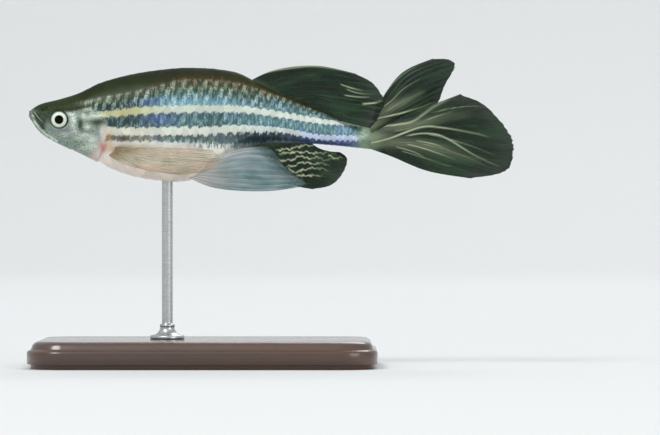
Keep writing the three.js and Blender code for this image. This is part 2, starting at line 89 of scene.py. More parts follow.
def paint(red, green, blue):
    """Linear colour of a display colour given as 0 to 255, by the usual 2.4 power curve."""
    display = np.array([red, green, blue]) / 255
    linear = np.where(display > 0.04045, ((display + 0.055) / 1.055) ** 2.4, display / 12.92)
    return (*linear.tolist(), 1.0)


def node(tree, kind, inputs=None, **settings):
    """Adds a shader node; inputs maps a socket's name or number to a value or to an output."""
    made = tree.nodes.new("ShaderNode" + kind)
    for name, value in settings.items():
        setattr(made, name, value)
    for key, value in (inputs or {}).items():
        if isinstance(value, bpy.types.NodeSocket):
            tree.links.new(value, made.inputs[key])
        else:
            made.inputs[key].default_value = value
    return made


def mixed(tree, factor, first, second, blend="MIX"):
    """Colour between two colours, by a factor from 0 to 1."""
    values = {0: factor, 6: first, 7: second}
    return node(tree, "Mix", values, data_type="RGBA", blend_type=blend).outputs[2]


def noise(tree, vector, scale, detail=2.0, roughness=0.5):
    """Noise from 0 to 1 with features about one over scale across."""
    values = {"Vector": vector, "Scale": scale, "Detail": detail, "Roughness": roughness}
    return node(tree, "TexNoise", values).outputs["Fac"]


def wire(shader, **sources):
    """Links outputs to a shader's sockets, whose names have underscores for spaces here."""
    for socket, source in sources.items():
        shader.id_data.links.new(source, shader.inputs[socket.replace("_", " ")])


def new_material(name, **constants):
    """A material with one Principled shader whose constant sockets are set by name."""
    material = bpy.data.materials.new(name)
    material.use_nodes = True
    shader = material.node_tree.nodes["Principled BSDF"]
    for socket, value in constants.items():
        shader.inputs[socket.replace("_", " ")].default_value = value
    return material, material.node_tree, shader


def new_piece(name, points, faces, material, maps=None, marks=None):
    """A smooth mesh object at the origin from frame metres; maps are UV layers, marks numbers."""
    mesh = bpy.data.meshes.new(name)
    mesh.from_pydata(points, [], faces)
    loops = np.empty(len(mesh.loops), int)
    mesh.loops.foreach_get("vertex_index", loops)
    for layer, values in (maps or {}).items():
        mesh.uv_layers.new(name=layer).data.foreach_set("uv", np.asarray(values)[loops].ravel())
    for mark, values in (marks or {}).items():
        mesh.attributes.new(mark, "FLOAT", "POINT").data.foreach_set("value", np.ravel(values))
    mesh.shade_smooth()
    mesh.materials.append(material)
    piece = bpy.data.objects.new(name, mesh)
    bpy.context.collection.objects.link(piece)
    return piece


def grid_faces(rows, columns, closed=False):
    """Quads of a grid of rows by columns of points; closed joins the last column to the first."""
    index = np.arange(rows * columns).reshape(rows, columns)
    across = np.roll(index, -1, axis=1) if closed else index[:, 1:]
    index = index if closed else index[:, :-1]
    quads = np.stack([index[:-1], across[:-1], across[1:], index[1:]], axis=-1)
    return quads.reshape(-1, 4)


def turned(radii, heights, sides):
    """Rings of points round the Z axis: each has the radius and the height of one profile point."""
    angle = np.linspace(0, 2 * np.pi, sides, endpoint=False)
    across, along = np.outer(radii, np.cos(angle)), np.outer(radii, np.sin(angle))
    return np.stack([across, along, np.repeat(np.asarray(heights)[:, None], sides, 1)], axis=-1)


card, tree, shader = new_material("pale_card", Roughness=0.9, Specular_IOR_Level=0.2)
where = node(tree, "TexCoord").outputs["Object"]
shade = mixed(tree, noise(tree, where, 3.0, 4.0), paint(208, 210, 210), paint(215, 216, 215))
wire(shader, Base_Color=shade)
curve = np.linspace(0, np.pi / 2, SWEEP_STEPS)
radii = np.array([*FLOOR_RINGS, *(FLOOR_RADIUS + SWEEP_RADIUS * np.sin(curve)), FLOOR_RADIUS + SWEEP_RADIUS])
heights = np.array([0.0, 0.0, *(SWEEP_RADIUS * (1 - np.cos(curve))), SWEEP_TOP])
rings = turned(radii, heights, SWEEP_SIDES)
first = np.arange(SWEEP_SIDES)
hub = np.stack([first, np.roll(first, -1), np.full(SWEEP_SIDES, len(radii) * SWEEP_SIDES)], axis=-1)
points = np.concatenate([rings.reshape(-1, 3), np.zeros((1, 3))])
quads = grid_faces(len(radii), SWEEP_SIDES, closed=True)[:, ::-1]
floor = new_piece("floor", points, [*quads.tolist(), *hub.tolist()], card)

world = bpy.data.worlds.new("studio")
world.use_nodes = True
world.node_tree.nodes["Background"].inputs["Color"].default_value = SKY_COLOUR
world.node_tree.nodes["Background"].inputs["Strength"].default_value = SKY_STRENGTH
bpy.context.scene.world = world
bpy.context.scene.view_settings.view_transform = "Standard"
for name, place, size, power in LIGHTS:
    lamp = bpy.data.lights.new(name, "AREA")
    lamp.shape = "DISK"
    lamp.size = size
    lamp.energy = power
    light = bpy.data.objects.new(name, lamp)
    light.location = place
    toward = -np.array(place) + placed(LIT_PLACE)
    reach = float(np.hypot(toward[0], toward[1]))
    light.rotation_euler = (math.atan2(reach, -toward[2]), 0, math.atan2(-toward[0], toward[1]))
    bpy.context.collection.objects.link(light)

# The base is a small slab of dark stained hardwood with a moulded edge and a satin lacquer.
# A real one is planed from a board, its edge run on a spindle, then stained and lacquered.
BASE_LENGTH, BASE_WIDTH, BASE_HEIGHT = 38.0, 24.0, 3.0
BASE_CORNER = 4.0
EDGE_PROFILE = [  # inset and height, from the underside up round the moulded edge
    (0.7, 0.0), (0.5, 0.0), (0.42, 0.08), (0.42, 0.42), (0.3, 0.5), (0.1, 0.52), (0.0, 0.62),
    (0.0, 1.75), (0.08, 1.95), (0.3, 2.05), (0.42, 2.12), (0.5, 2.28), (0.62, 2.6), (0.85, 2.85),
    (1.15, 2.97), (1.5, 3.0), (2.6, 3.0),
]


def worked(tree, operation, first, second=0.0, third=0.0):
    """Result of one sum on two or three numbers or outputs."""
    return node(tree, "Math", {0: first, 1: second, 2: third}, operation=operation).outputs[0]


def times(first, *others):
    """Product of an output and other outputs or numbers, taken in turn."""
    for other in others:
        first = worked(first.id_data, "MULTIPLY", first, other)
    return first


def between(tree, value, low, high, out_low=0.0, out_high=1.0):
    """Value mapped smoothly from the range low to high on to the range out_low to out_high."""
    values = {0: value, 1: low, 2: high, 3: out_low, 4: out_high}
    return node(tree, "MapRange", values, interpolation_type="SMOOTHSTEP").outputs[0]


def stretched(tree, vector, scale, shift=(0.0, 0.0, 0.0)):
    """Vector times a scale for each axis, plus a shift."""
    return node(tree, "Mapping", {"Vector": vector, "Scale": scale, "Location": shift}).outputs[0]


def bumped(tree, height, strength, distance):
    """Normal of a surface that seems to rise with the height."""
    values = {"Strength": strength, "Distance": distance, "Height": height}
    return node(tree, "Bump", values).outputs[0]


def capped(rings, flip=False):
    """Closed skin over rings of points: quads between rings and a fan on each end's centre."""
    count, sides = rings.shape[:2]
    points = np.concatenate([rings.reshape(-1, 3), rings[:1].mean(1), rings[-1:].mean(1)])
    quads = grid_faces(count, sides, closed=True)
    first = np.arange(sides)
    after = np.roll(first, -1)
    last = first + (count - 1) * sides
    start = np.stack([after, first, np.full(sides, count * sides)], axis=-1)
    end = np.stack([last, np.roll(last, -1), np.full(sides, count * sides + 1)], axis=-1)
    if flip:
        quads, start, end = quads[:, ::-1], start[:, ::-1], end[:, ::-1]
    return points, [*quads.tolist(), *start.tolist(), *end.tolist()]


def slab_outline(inset, corner_points=14, side_points=12):
    """Rounded rectangle drawn in by an inset: four quarter circles joined by straight sides."""
    half_x, half_y = BASE_LENGTH / 2 - BASE_CORNER, BASE_WIDTH / 2 - BASE_CORNER
    turn = np.linspace(0, np.pi / 2, corner_points)
    radius = BASE_CORNER - inset
    arcs = []
    for quarter, (sx, sy) in enumerate(((1, 1), (-1, 1), (-1, -1), (1, -1))):
        angle = turn + quarter * np.pi / 2
        centre = np.array([sx * half_x, sy * half_y])
        arcs.append(centre + radius * np.stack([np.cos(angle), np.sin(angle)], axis=-1))
    outline = []
    for arc, following in zip(arcs, arcs[1:] + arcs[:1]):
        share = np.linspace(0, 1, side_points + 2)[1:-1, None]
        outline += [arc, arc[-1] * (1 - share) + following[0] * share]
    return np.concatenate(outline)


slab_rings = np.stack([
    np.concatenate([slab_outline(inset), np.full((len(slab_outline(0)), 1), height)], axis=1)
    for inset, height in EDGE_PROFILE
])
points, faces = capped(slab_rings)
wood, tree, shader = new_material("stained_wood", Coat_Roughness=0.12, Coat_IOR=1.5)
where = node(tree, "TexCoord").outputs["Object"]
along = stretched(tree, where, (60.0, 700.0, 700.0))
wander = noise(tree, stretched(tree, where, (30.0, 120.0, 120.0)), 1.0)
grain = noise(tree, along, 1.0, 6.0, 0.65)
year_rings = {"Vector": along, "Scale": 0.16, "Distortion": 9.0, "Detail": 3.0}
year_rings = node(tree, "TexWave", year_rings, bands_direction="Y").outputs["Fac"]
pore = between(tree, noise(tree, stretched(tree, where, (900.0, 9000.0, 9000.0)), 1.0), 0.62, 0.7)
colour = mixed(tree, grain, paint(38, 22, 15), paint(88, 55, 36))
for mask, strength, tint in (
    (year_rings, 0.45, paint(30, 17, 12)),
    (pore, 0.6, paint(20, 12, 9)),
    (wander, 0.25, paint(110, 70, 46)),
):
    colour = mixed(tree, times(mask, strength), colour, tint)
wire(shader, Base_Color=colour, Roughness=between(tree, grain, 0.2, 0.8, 0.42, 0.3),
     Coat_Weight=between(tree, wander, 0.2, 0.8, 0.85, 0.65),
     Normal=bumped(tree, worked(tree, "SUBTRACT", grain, pore), 0.25, 0.00005))
base = new_piece("base", np.array(points) * MM, faces, wood)
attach(base, "root")
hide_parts("stand_base")

# The rod is turned from stainless steel: a dished foot screwed to the base, a neck and a thin stem.
# Its top end goes into the belly, where a real model has a drilled and glued hole.
ROD_X = 15.4
ROD_RADIUS = 0.6
ROD_TOP = -6.53
ROD_SIDES, STEM_RINGS, STEM_START = 40, 20, 1.9
ROD_PROFILE = [  # radius, and height over the base's top
    (1.84, 0.0), (1.9, 0.05), (1.9, 0.3), (1.84, 0.4), (1.7, 0.44), (1.5, 0.47), (1.25, 0.56),
    (1.02, 0.74), (0.86, 1.0), (0.78, 1.25), (0.8, 1.36), (0.84, 1.42), (0.84, 1.56), (0.78, 1.64),
    (0.66, 1.68), (0.6, 1.74),
]
ROD_CHAMFER = 0.1


def plus(first, *others):
    """Sum of an output and other outputs or numbers, taken in turn."""
    for other in others:
        first = worked(first.id_data, "ADD", first, other)
    return first


rod_foot = BASE_HEIGHT - SNOUT_PLACE[2]
rod_length = ROD_TOP - rod_foot
stem_heights = np.linspace(STEM_START, rod_length - ROD_CHAMFER, STEM_RINGS)
stem = np.stack([np.full(STEM_RINGS, ROD_RADIUS), stem_heights], axis=-1)
profile = np.concatenate([ROD_PROFILE, stem, [(ROD_RADIUS - ROD_CHAMFER, rod_length)]])
points, faces = capped(turned(*profile.T, ROD_SIDES))
rod_points = points + [ROD_X, 0, rod_foot]
steel, tree, shader = new_material("brushed_steel", Metallic=1.0)
where = node(tree, "TexCoord").outputs["Object"]
lines = noise(tree, stretched(tree, where, (900.0, 900.0, 26000.0)), 1.0, 4.0)
cloud = noise(tree, where, 500.0, 2.0)
rough = plus(between(tree, lines, 0.3, 0.7, 0.2, 0.34), times(cloud, 0.08))
wire(shader, Base_Color=mixed(tree, lines, paint(150, 153, 156), paint(206, 207, 206)), Roughness=rough,
     Normal=bumped(tree, lines, 0.3, 0.00001))
rod = new_piece("rod", placed(rod_points), faces, steel)
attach(rod, "root")
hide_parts("stand_rod")

# The skin is the fish's whole flesh in one piece, from the lips to the root of the tail fin.
# A museum model is cast from a mould in resin, with the head's folds, lips and pits in the cast.
LENGTH = 37.3
TAIL_BEND, BEND_START = 0.9, 20.0
SIDE_POWER = 0.92
SKIN_DEPTH = 0.1
TAIL_WEDGE = (36.6, 38.3)
WEDGE_LOSS = 0.86
SNOUT_BLEND = 4.0
MAP_SPAN = 40.0
STATIONS = np.array([  # x, back, belly, half width, level of the widest place
    [0, 0, 0, 0, 0], [0.25, 0.3, -0.8, 0.62, -0.2], [1.4, 1.0, -2.4, 1.22, -0.6],
    [3.6, 1.55, -3.7, 1.78, -1.0], [5.8, 2.25, -4.65, 2.12, -1.2], [8, 3.3, -5.75, 2.38, -1.3],
    [10.8, 4.1, -6.9, 2.72, -1.5], [13.5, 4.6, -7.5, 2.98, -1.9], [16.8, 4.95, -7.75, 3.02, -2.0],
    [19, 4.95, -7.2, 2.86, -1.6], [21.2, 4.8, -6.05, 2.56, -1.1], [23.4, 4.35, -4.5, 2.2, -0.6],
    [25.8, 3.1, -3.6, 1.78, -0.5], [30, 1.2, -3.5, 1.25, -1.2], [34.4, -0.6, -3.8, 0.85, -2.2],
    [37.3, -1.45, -4.1, 0.5, -2.8],
])
MOUTH_LINE = [[-0.6, 0.5], [0.08, -0.02], [0.5, -0.55], [1.0, -1.1], [1.5, -1.55], [1.95, -1.95]]
JAW_END = [[2.35, -2.45], [2.6, -3.2], [2.75, -4.4]]
GILL_OPENING = [[6.6, 5.2], [7.3, 3.2], [8.1, 1.6], [8.7, 0.2], [8.95, -1.2], [8.9, -2.6], [8.55, -4.0],
                [7.8, -5.3], [6.9, -7.0]]
HEAD_END = [[4.3, 2.6], [5.2, 1.5], [6.1, 0.75], [7.6, 0.1], [8.6, -0.55], [8.98, -1.5], *GILL_OPENING[5:]]
CHEEK_FOLD = [[6.3, 0.7], [5.7, -0.7], [5.55, -2.2], [5.75, -3.3], [5.2, -4.1], [4.1, -4.3]]
EYE_X, EYE_Z, EYE_RADIUS, EYE_DEPTH, EYE_Y = 3.58, -0.86, 1.0, 0.62, 1.3
NOSTRILS = [[1.72, 0.2, 0.13], [2.12, 0.42, 0.15]]
SOCKET_DEPTH, RIM_HEIGHT, RIM_RADIUS = 0.62, 0.035, 1.18
MOUTH_DEPTH, LIP_HEIGHT, LIP_PLACE = 0.2, 0.07, 0.17
JAW_DEPTH = 0.07
GILL_STEP, GILL_EDGE, GILL_RANGE = 0.17, 0.03, (0.1, 1.1)
FOLD_DEPTH, FOLD_EDGE = 0.06, 0.03
NOSTRIL_DEPTH, NOSTRIL_RIM = 0.18, 0.02
UNDER_EYE_DEPTH, THROAT_RAY_HEIGHT = 0.03, 0.025


def through(knots, t):
    """Weights on values at the knots that give a smooth curve's value at t.

    The curve is cubic between knots; its slope at a knot is the rise between the two neighbours
    over their distance, one-sided at the ends, and it runs on straight past them.
    """
    knots, t = np.asarray(knots, float), np.asarray(t, float)
    one = np.eye(len(knots))
    slope = np.empty_like(one)
    slope[1:-1] = (one[2:] - one[:-2]) / (knots[2:] - knots[:-2])[:, None]
    slope[0] = (one[1] - one[0]) / (knots[1] - knots[0])
    slope[-1] = (one[-1] - one[-2]) / (knots[-1] - knots[-2])
    inside = np.clip(t, knots[0], knots[-1])
    k = np.clip(np.searchsorted(knots, inside, side="right") - 1, 0, len(knots) - 2)
    span = (knots[k + 1] - knots[k])[..., None]
    s = (inside - knots[k])[..., None] / span
    ends = (2 * s**3 - 3 * s**2 + 1) * one[k] + (3 * s**2 - 2 * s**3) * one[k + 1]
    bends = span * ((s**3 - 2 * s**2 + s) * slope[k] + (s**3 - s**2) * slope[k + 1])
    beyond = (t - inside)[..., None] * np.where((t < knots[0])[..., None], slope[0], slope[-1])
    return ends + bends + beyond


def eased(value, low=0.0, high=1.0):
    """Smooth step: 0 below low, 1 above high, and three squares less two cubes between."""
    share = np.clip((value - low) / (high - low), 0, 1)
    return share * share * (3 - 2 * share)


def bump_at(distance, width):
    """Bell of height 1: e to the minus square of distance over width."""
    return np.exp(-((distance / width) ** 2))


def even(count):
    """Evenly spaced knots from 0 to 1."""
    return np.linspace(0, 1, count)


def smooth_path(points, count):
    """Points of a broken line made into a smooth one with count points."""
    points = np.asarray(points, float)
    return through(even(len(points)), even(count)) @ points


def middle_at(x):
    """Sideways place of the midline: straight to the bend, then a square curve to the tail."""
    return TAIL_BEND * np.maximum((x - BEND_START) / (LENGTH - BEND_START), 0) ** 2


def section_at(x):
    """Back, belly, half width and widest level at x, the stations' values smooth along its root."""
    weights = through(np.sqrt(STATIONS[:, 0] / LENGTH), np.sqrt(np.clip(x, 0, None) / LENGTH))
    return np.moveaxis(weights @ STATIONS[:, 1:], -1, 0)


def body_at(x, angle, depth=0.0):
    """Point of the flesh at x, an angle round from the back (pi is the belly), a depth under.

    Each cross-section is two half ovals that meet at the widest level, one up to the back and
    one down to the belly.
    """
    back, belly, half, widest = section_at(x)
    upper, c, s = np.cos(angle) > 0, np.cos(angle), np.sin(angle)
    height = np.where(upper, back - widest, widest - belly)
    height = np.where(height > 2 * depth, height - depth, height / 2)
    half = np.where(half > 2 * depth, half - depth, half / 2) * (1 - WEDGE_LOSS * eased(x, *TAIL_WEDGE))
    y = middle_at(x) + np.sign(s) * half * np.abs(s) ** SIDE_POWER
    ahead = depth * np.clip(1 - x / SNOUT_BLEND, 0, 1)
    return np.stack(np.broadcast_arrays(x + ahead, y, widest + height * c), axis=-1)


TABLE_ROWS, TABLE_ANGLES, TABLE_SHARES = 240, 361, 241
TABLE_FROM, TABLE_TO = 0.02, 1.02
LAST_CELL = 1.001
table_x = LENGTH * np.linspace(TABLE_FROM, TABLE_TO, TABLE_ROWS) ** 2
table_angle = np.linspace(0, np.pi, TABLE_ANGLES)
ring_points = body_at(table_x[:, None], table_angle[None, :], SKIN_DEPTH)
steps = np.linalg.norm(np.diff(ring_points[..., 1:], axis=1), axis=-1)
table_arc = np.concatenate([np.zeros((TABLE_ROWS, 1)), np.cumsum(steps, axis=1)], axis=1)
half_girths = table_arc[:, -1]
table_shares = np.linspace(0, 1, TABLE_SHARES)
share_angles = np.stack([np.interp(table_shares, arc / arc[-1], table_angle) for arc in table_arc])


def girth_at(x):
    """Half the skin's girth at x, from back to belly."""
    return np.interp(x, table_x, half_girths)


def girth_angle(x, share):
    """Angle round the body at a share of the half girth from the back to the belly.

    Below 0 or above 1 it is on the other side. It is read off the table of cross-sections,
    straight between its entries.
    """
    row = (np.sqrt(np.clip(x, 0, None) / LENGTH) - TABLE_FROM) / (TABLE_TO - TABLE_FROM) * (TABLE_ROWS - 1)
    row = np.clip(row, 0, TABLE_ROWS - LAST_CELL)
    folded = np.abs(share)
    over = folded > 1
    column = np.where(over, 2 - folded, folded) * (TABLE_SHARES - 1)
    column = np.clip(column, 0, TABLE_SHARES - LAST_CELL)
    i, j = row.astype(int), column.astype(int)
    p, q = row - i, column - j
    angle = (share_angles[i, j] * (1 - p) + share_angles[i + 1, j] * p) * (1 - q) + (
        share_angles[i, j + 1] * (1 - p) + share_angles[i + 1, j + 1] * p) * q
    return np.sign(share + 1e-12) * np.where(over, 2 * np.pi - angle, angle)


def skin_map_at(x, share):
    """Place on the skin's unwrap: u runs back from the snout, v across from the ridge of the back."""
    return np.stack([x / MAP_SPAN, 0.5 + share * girth_at(x) / MAP_SPAN], axis=-1)


def near_line(path, x, z):
    """Distance from points to a broken line, above 0 on the left of its run, and the share run."""
    path = np.asarray(path, float)
    step = path[1:] - path[:-1]
    reach = np.hypot(*step.T)
    from_x, from_z = x[..., None] - path[:-1, 0], z[..., None] - path[:-1, 1]
    t = np.clip((from_x * step[:, 0] + from_z * step[:, 1]) / reach**2, 0, 1)
    distance = np.hypot(from_x - t * step[:, 0], from_z - t * step[:, 1])
    side = np.sign(step[:, 0] * from_z - step[:, 1] * from_x)
    run = (np.concatenate([[0], np.cumsum(reach)[:-1]]) + t * reach) / reach.sum()
    nearest = distance.argmin(-1)[..., None]
    distance, side, run = (np.take_along_axis(v, nearest, -1)[..., 0] for v in (distance, side, run))
    return distance * side, run


mouth_path = smooth_path(MOUTH_LINE, 24)
jaw_path = smooth_path(JAW_END, 12)
gill_path = smooth_path(GILL_OPENING, 30)
fold_path = smooth_path(CHEEK_FOLD, 20)
head_end_path = smooth_path(HEAD_END, 36)


def gill_drop(gill, z):
    """How far the flesh sinks just behind the gill opening, fading over the next 1.4 mm."""
    return -GILL_STEP * eased(-z, *GILL_RANGE) * (1 - eased(gill, 0.1, 1.4))


def head_relief(x, z):
    """Height of the head's forms over the plain flesh, in millimetres, from the side view's x, z.

    It adds bells and smooth steps of the distance from the mouth, the jaw's end, the gill
    opening, the cheek fold, the eye and the nostrils, and fine rays under the throat.
    """
    from_eye = np.hypot(x - EYE_X, z - EYE_Z)
    eye_rim = RIM_HEIGHT * bump_at(from_eye - RIM_RADIUS, 0.13)
    relief = -SOCKET_DEPTH * (1 - eased(from_eye, 0.9, 1.04)) + eye_rim
    mouth, _ = near_line(mouth_path, x, z)
    relief += -MOUTH_DEPTH * bump_at(mouth, 0.07) + LIP_HEIGHT * bump_at(np.abs(mouth) - LIP_PLACE, 0.1)
    jaw, _ = near_line(jaw_path, x, z)
    relief += -JAW_DEPTH * bump_at(jaw, 0.1) * eased(x, 1.9, 2.4)
    gill, _ = near_line(gill_path, x, z)
    gill_edge = GILL_EDGE * bump_at(gill + 0.18, 0.14) * eased(-z, *GILL_RANGE)
    relief += gill_drop(gill, z) * eased(gill, -0.03, 0.07) + gill_edge
    fold, run = near_line(fold_path, x, z)
    crease = FOLD_EDGE * bump_at(fold + 0.2, 0.14) - FOLD_DEPTH * bump_at(fold, 0.09)
    relief += crease * eased(run, 0.02, 0.3)
    for nx, nz, radius in NOSTRILS:
        hole = np.hypot(x - nx, z - nz)
        rim = NOSTRIL_RIM * bump_at(hole - radius * 1.4, 0.08)
        relief += -NOSTRIL_DEPTH * bump_at(hole, radius * 0.8) + rim
    under = np.hypot((x - 3.2) / 1.25, z + 1.0)
    relief += -UNDER_EYE_DEPTH * bump_at(under - 1.75, 0.08) * eased(-z, 1.2, 2.0)
    rays = np.sin((z + 0.35 * x) * 9.0) * eased(x, 3.2, 4.2) * (1 - eased(x, 7.2, 8.4))
    throat = eased(-(z + 0.32 * x), 2.3, 2.7)
    relief += THROAT_RAY_HEIGHT * rays * throat
    return relief


def surface_normal(points, closed):
    """Unit normals of a grid of points: across one way times across the other way."""
    if closed:
        around = np.roll(points, -1, axis=1) - np.roll(points, 1, axis=1)
    else:
        around = np.gradient(points, axis=1)
    normal = np.cross(np.gradient(points, axis=0), around)
    return normal / np.maximum(np.linalg.norm(normal, axis=-1, keepdims=True), 1e-9)


# Stripe borders as photograph rows at ten photograph columns, from the back down to the belly,
# and the number from 0 to 1 that the stripe coordinate has on each border.
STRIPE_COLUMNS = [80, 105, 140, 180, 200, 240, 280, 320, 350, 366]
STRIPE_ROWS = np.array([
    [92.0, 79.5, 72, 67.5, 66.9, 71.5, 90, 111, 121, 125],
    [102.0, 97.5, 91, 80, 79.5, 83, 97, 111.5, 121, 125],
    [104.5, 99, 93, 84.5, 84, 88, 98, 112, 121, 125],
    [107.5, 102, 95, 90, 89.5, 91.5, 98.5, 112.5, 121.3, 125.1],
    [110.0, 104.5, 98, 94, 94, 97, 100, 113, 121.5, 125.2],
    [113.0, 110.9, 107, 105.5, 105.2, 105.8, 111, 118.3, 121.8, 125.4],
    [119.0, 117.7, 114.6, 112.8, 112.3, 112.7, 117.3, 123.2, 125, 127],
    [126.0, 127, 127, 126.6, 126.6, 125, 127.3, 134, 134.7, 134.9],
    [136.0, 135, 135.4, 135, 135, 131.8, 131.2, 139.0, 139.7, 139.8],
    [141.0, 141.5, 140.7, 141.5, 142.5, 144.0, 140.0, 144.6, 145.6, 146],
    [147.0, 146.5, 146.5, 147.5, 148.5, 148.0, 143.0, 145.2, 146.2, 147],
    [155.0, 162, 172, 184, 182, 165, 152, 153, 155, 158],
])
STRIPE_VALUES = np.array([0, 0.18, 0.22, 0.27, 0.32, 0.42, 0.48, 0.60, 0.67, 0.72, 0.77, 1.0])


def stripe_at(x, z):
    """Stripe coordinate at the side view's x, z: each border's step is passed in proportion."""
    column = np.clip(x / PIXEL + SNOUT_PIXEL[0], STRIPE_COLUMNS[0], STRIPE_COLUMNS[-1])
    row = SNOUT_PIXEL[1] - z / PIXEL
    borders = through(STRIPE_COLUMNS, column) @ STRIPE_ROWS.T
    low, high = borders[..., :-1], borders[..., 1:]
    passed = np.clip((row[..., None] - low) / np.maximum(high - low, 0.05), 0, 1)
    return passed @ np.diff(STRIPE_VALUES)


# Dabs of shade, light or colour: photograph column and row, half width and half height, strength.
# The head's shades are dark pigment patches and painted shade under the eye and at the mouth's corner.
HEAD_SHADES = [
    (81, 125, 2.8, 6.5, 1.3), (99, 122.5, 8.5, 4.0, 1.1), (65, 131, 9.0, 2.6, 0.6), (37, 122, 2.2, 3.5, 0.7),
    (43, 127, 2.5, 3.0, 0.6), (50, 117, 2.2, 6.0, 0.45), (89, 113.5, 7.0, 1.8, 0.6),
    (90, 131, 5.0, 1.8, 0.35), (40, 117, 9.5, 9.0, 1.5), (52, 112, 10.0, 3.0, 0.9),
    (84, 139, 5.0, 1.6, 0.3), (95, 147, 3.0, 5.0, 0.3), (72, 137, 3.0, 2.0, 0.25),
]
# The head's lights are pale marks and painted highlights on the silver cheek, gill cover and throat.
HEAD_LIGHTS = [
    (74, 120, 2.8, 8.0, 0.9), (70, 113.5, 3.0, 2.5, 0.7), (76, 131, 4.0, 2.6, 0.4), (88, 127, 3.5, 3.0, 0.7),
    (92, 139, 5.0, 3.5, 0.7), (84, 135, 6.0, 1.8, 0.7), (80, 139, 6.0, 2.0, 0.5), (86, 148, 8.0, 3.5, 0.5),
    (86, 109.3, 5.5, 1.2, 0.7), (92, 112.5, 1.6, 3.0, 0.6), (84, 115.5, 3.0, 2.4, 0.7),
    (100, 115.5, 8.0, 2.4, 0.9), (95, 146, 6.0, 4.5, 0.6), (90, 118, 7.0, 1.8, 0.5),
    (64, 134, 6.0, 3.0, 0.35), (103, 132, 2.5, 5.0, 0.6), (100, 155, 4.0, 4.0, 0.5),
]
# Dark spots and patches of pigment on the trunk; the last dab, under the belly's rear, is painted shade.
TRUNK_SPOTS = [
    (124, 138.3, 5.0, 2.3, 1.0), (112.5, 138.5, 2.6, 2.6, 0.75), (134, 139.5, 2.5, 1.6, 0.4),
    (121, 151.3, 15.0, 2.7, 0.72), (160, 157.5, 8.0, 2.5, 0.25), (182, 171.0, 10.0, 5.0, 0.32),
]
RED_SPOTS = [(103, 147, 3.6, 4.6, 1.0), (203, 163, 13, 4.5, 0.4)]
VIOLET_SPOTS = [
    (68, 131, 7.0, 6.0, 0.8), (53, 131, 5.0, 5.0, 0.6), (97, 134, 4.0, 7.0, 0.5), (93, 153, 5.0, 5.0, 0.5),
    (152, 101, 11.0, 7.0, 0.9), (160, 119, 17.0, 6.0, 0.95), (185, 104, 9.0, 3.0, 0.4),
    (345, 130, 14.0, 6.0, 0.45), (340, 142, 22.0, 3.5, 0.8), (225, 98, 8.0, 4.0, 0.3),
]
AMBER_SPOTS = [
    (109.5, 137.0, 2.6, 5.0, 0.6), (113, 147.8, 7.0, 1.8, 0.7), (110, 143.0, 2.0, 3.5, 0.5),
    (121, 113.5, 4.0, 2.4, 0.45), (136, 111.5, 5.0, 2.0, 0.25), (124, 151.5, 15.0, 3.0, 0.4),
]

# Bright lines and the crown's lower border: photograph columns, then their rows. The pink of the
# throat lies round a column, and both it and the gill's pink begin between two rows.
STEM_LIGHT = at_pixel([352, 362, 368, 376, 384], [137.5, 137.0, 134.5, 129.5, 127.0])
JAW_LIGHT = at_pixel([32.5, 35, 39, 46, 57], [116, 122, 128, 134.5, 141])
CROWN_BORDER = ([27, 33, 45, 59, 72, 85, 98, 110, 125], [109.5, 110, 112, 113, 113, 110, 103, 97.5, 92])
THROAT_COLUMN, THROAT_WIDTH, THROAT_ROWS = 104, 14, (146, 158)
GILL_PINK_ROWS = (122, 130)


def dabs(spots, column, row):
    """Sum of oval bells, each a column, a row, two half sizes and a strength, cut off at 1."""
    middle, level, width, height, strength = np.array(spots).T
    reach = ((column[..., None] - middle) / width) ** 2 + ((row[..., None] - level) / height) ** 2
    return np.clip((strength * np.exp(-reach)).sum(-1), 0, 1)


def markings(x, z):
    """The numbers that colour skin and scales alike, from the side view's x, z."""
    column, row = x / PIXEL + SNOUT_PIXEL[0], SNOUT_PIXEL[1] - z / PIXEL
    gill, _ = near_line(head_end_path, x, z)
    crown_row = np.interp(column, *CROWN_BORDER)
    jaw_light, _ = near_line(np.stack(JAW_LIGHT, axis=-1), x, z)
    stem_light, _ = near_line(np.stack(STEM_LIGHT, axis=-1), x, z)
    lines = 0.85 * bump_at(jaw_light, 0.13) + 0.9 * bump_at(stem_light, 0.14)
    throat = bump_at((column - THROAT_COLUMN) / THROAT_WIDTH, 1) * eased(row, *THROAT_ROWS)
    high_up = eased(z, -0.6, 0.4)
    return {
        "stripe": stripe_at(x, z),
        "head": 1 - eased(gill, -0.5 - 0.3 * high_up, 0.35 + 0.4 * high_up),
        "crown": eased(crown_row - row, -2.0, 3.0),
        # Dark patches, with painted shade under the eye and at the mouth's corner.
        "shade": dabs(HEAD_SHADES, column, row),
        # Pale marks and lines, with painted highlights on the silver head and throat.
        "light": np.clip(dabs(HEAD_LIGHTS, column, row) + lines, 0, 1),
        "pink": np.clip(bump_at(gill + 0.3, 0.42) * eased(row, *GILL_PINK_ROWS) + throat, 0, 1),
        "red": dabs(RED_SPOTS, column, row),
        "spot": dabs(TRUNK_SPOTS, column, row),
        "amber": dabs(AMBER_SPOTS, column, row),
        "violet": dabs(VIOLET_SPOTS, column, row),
    }


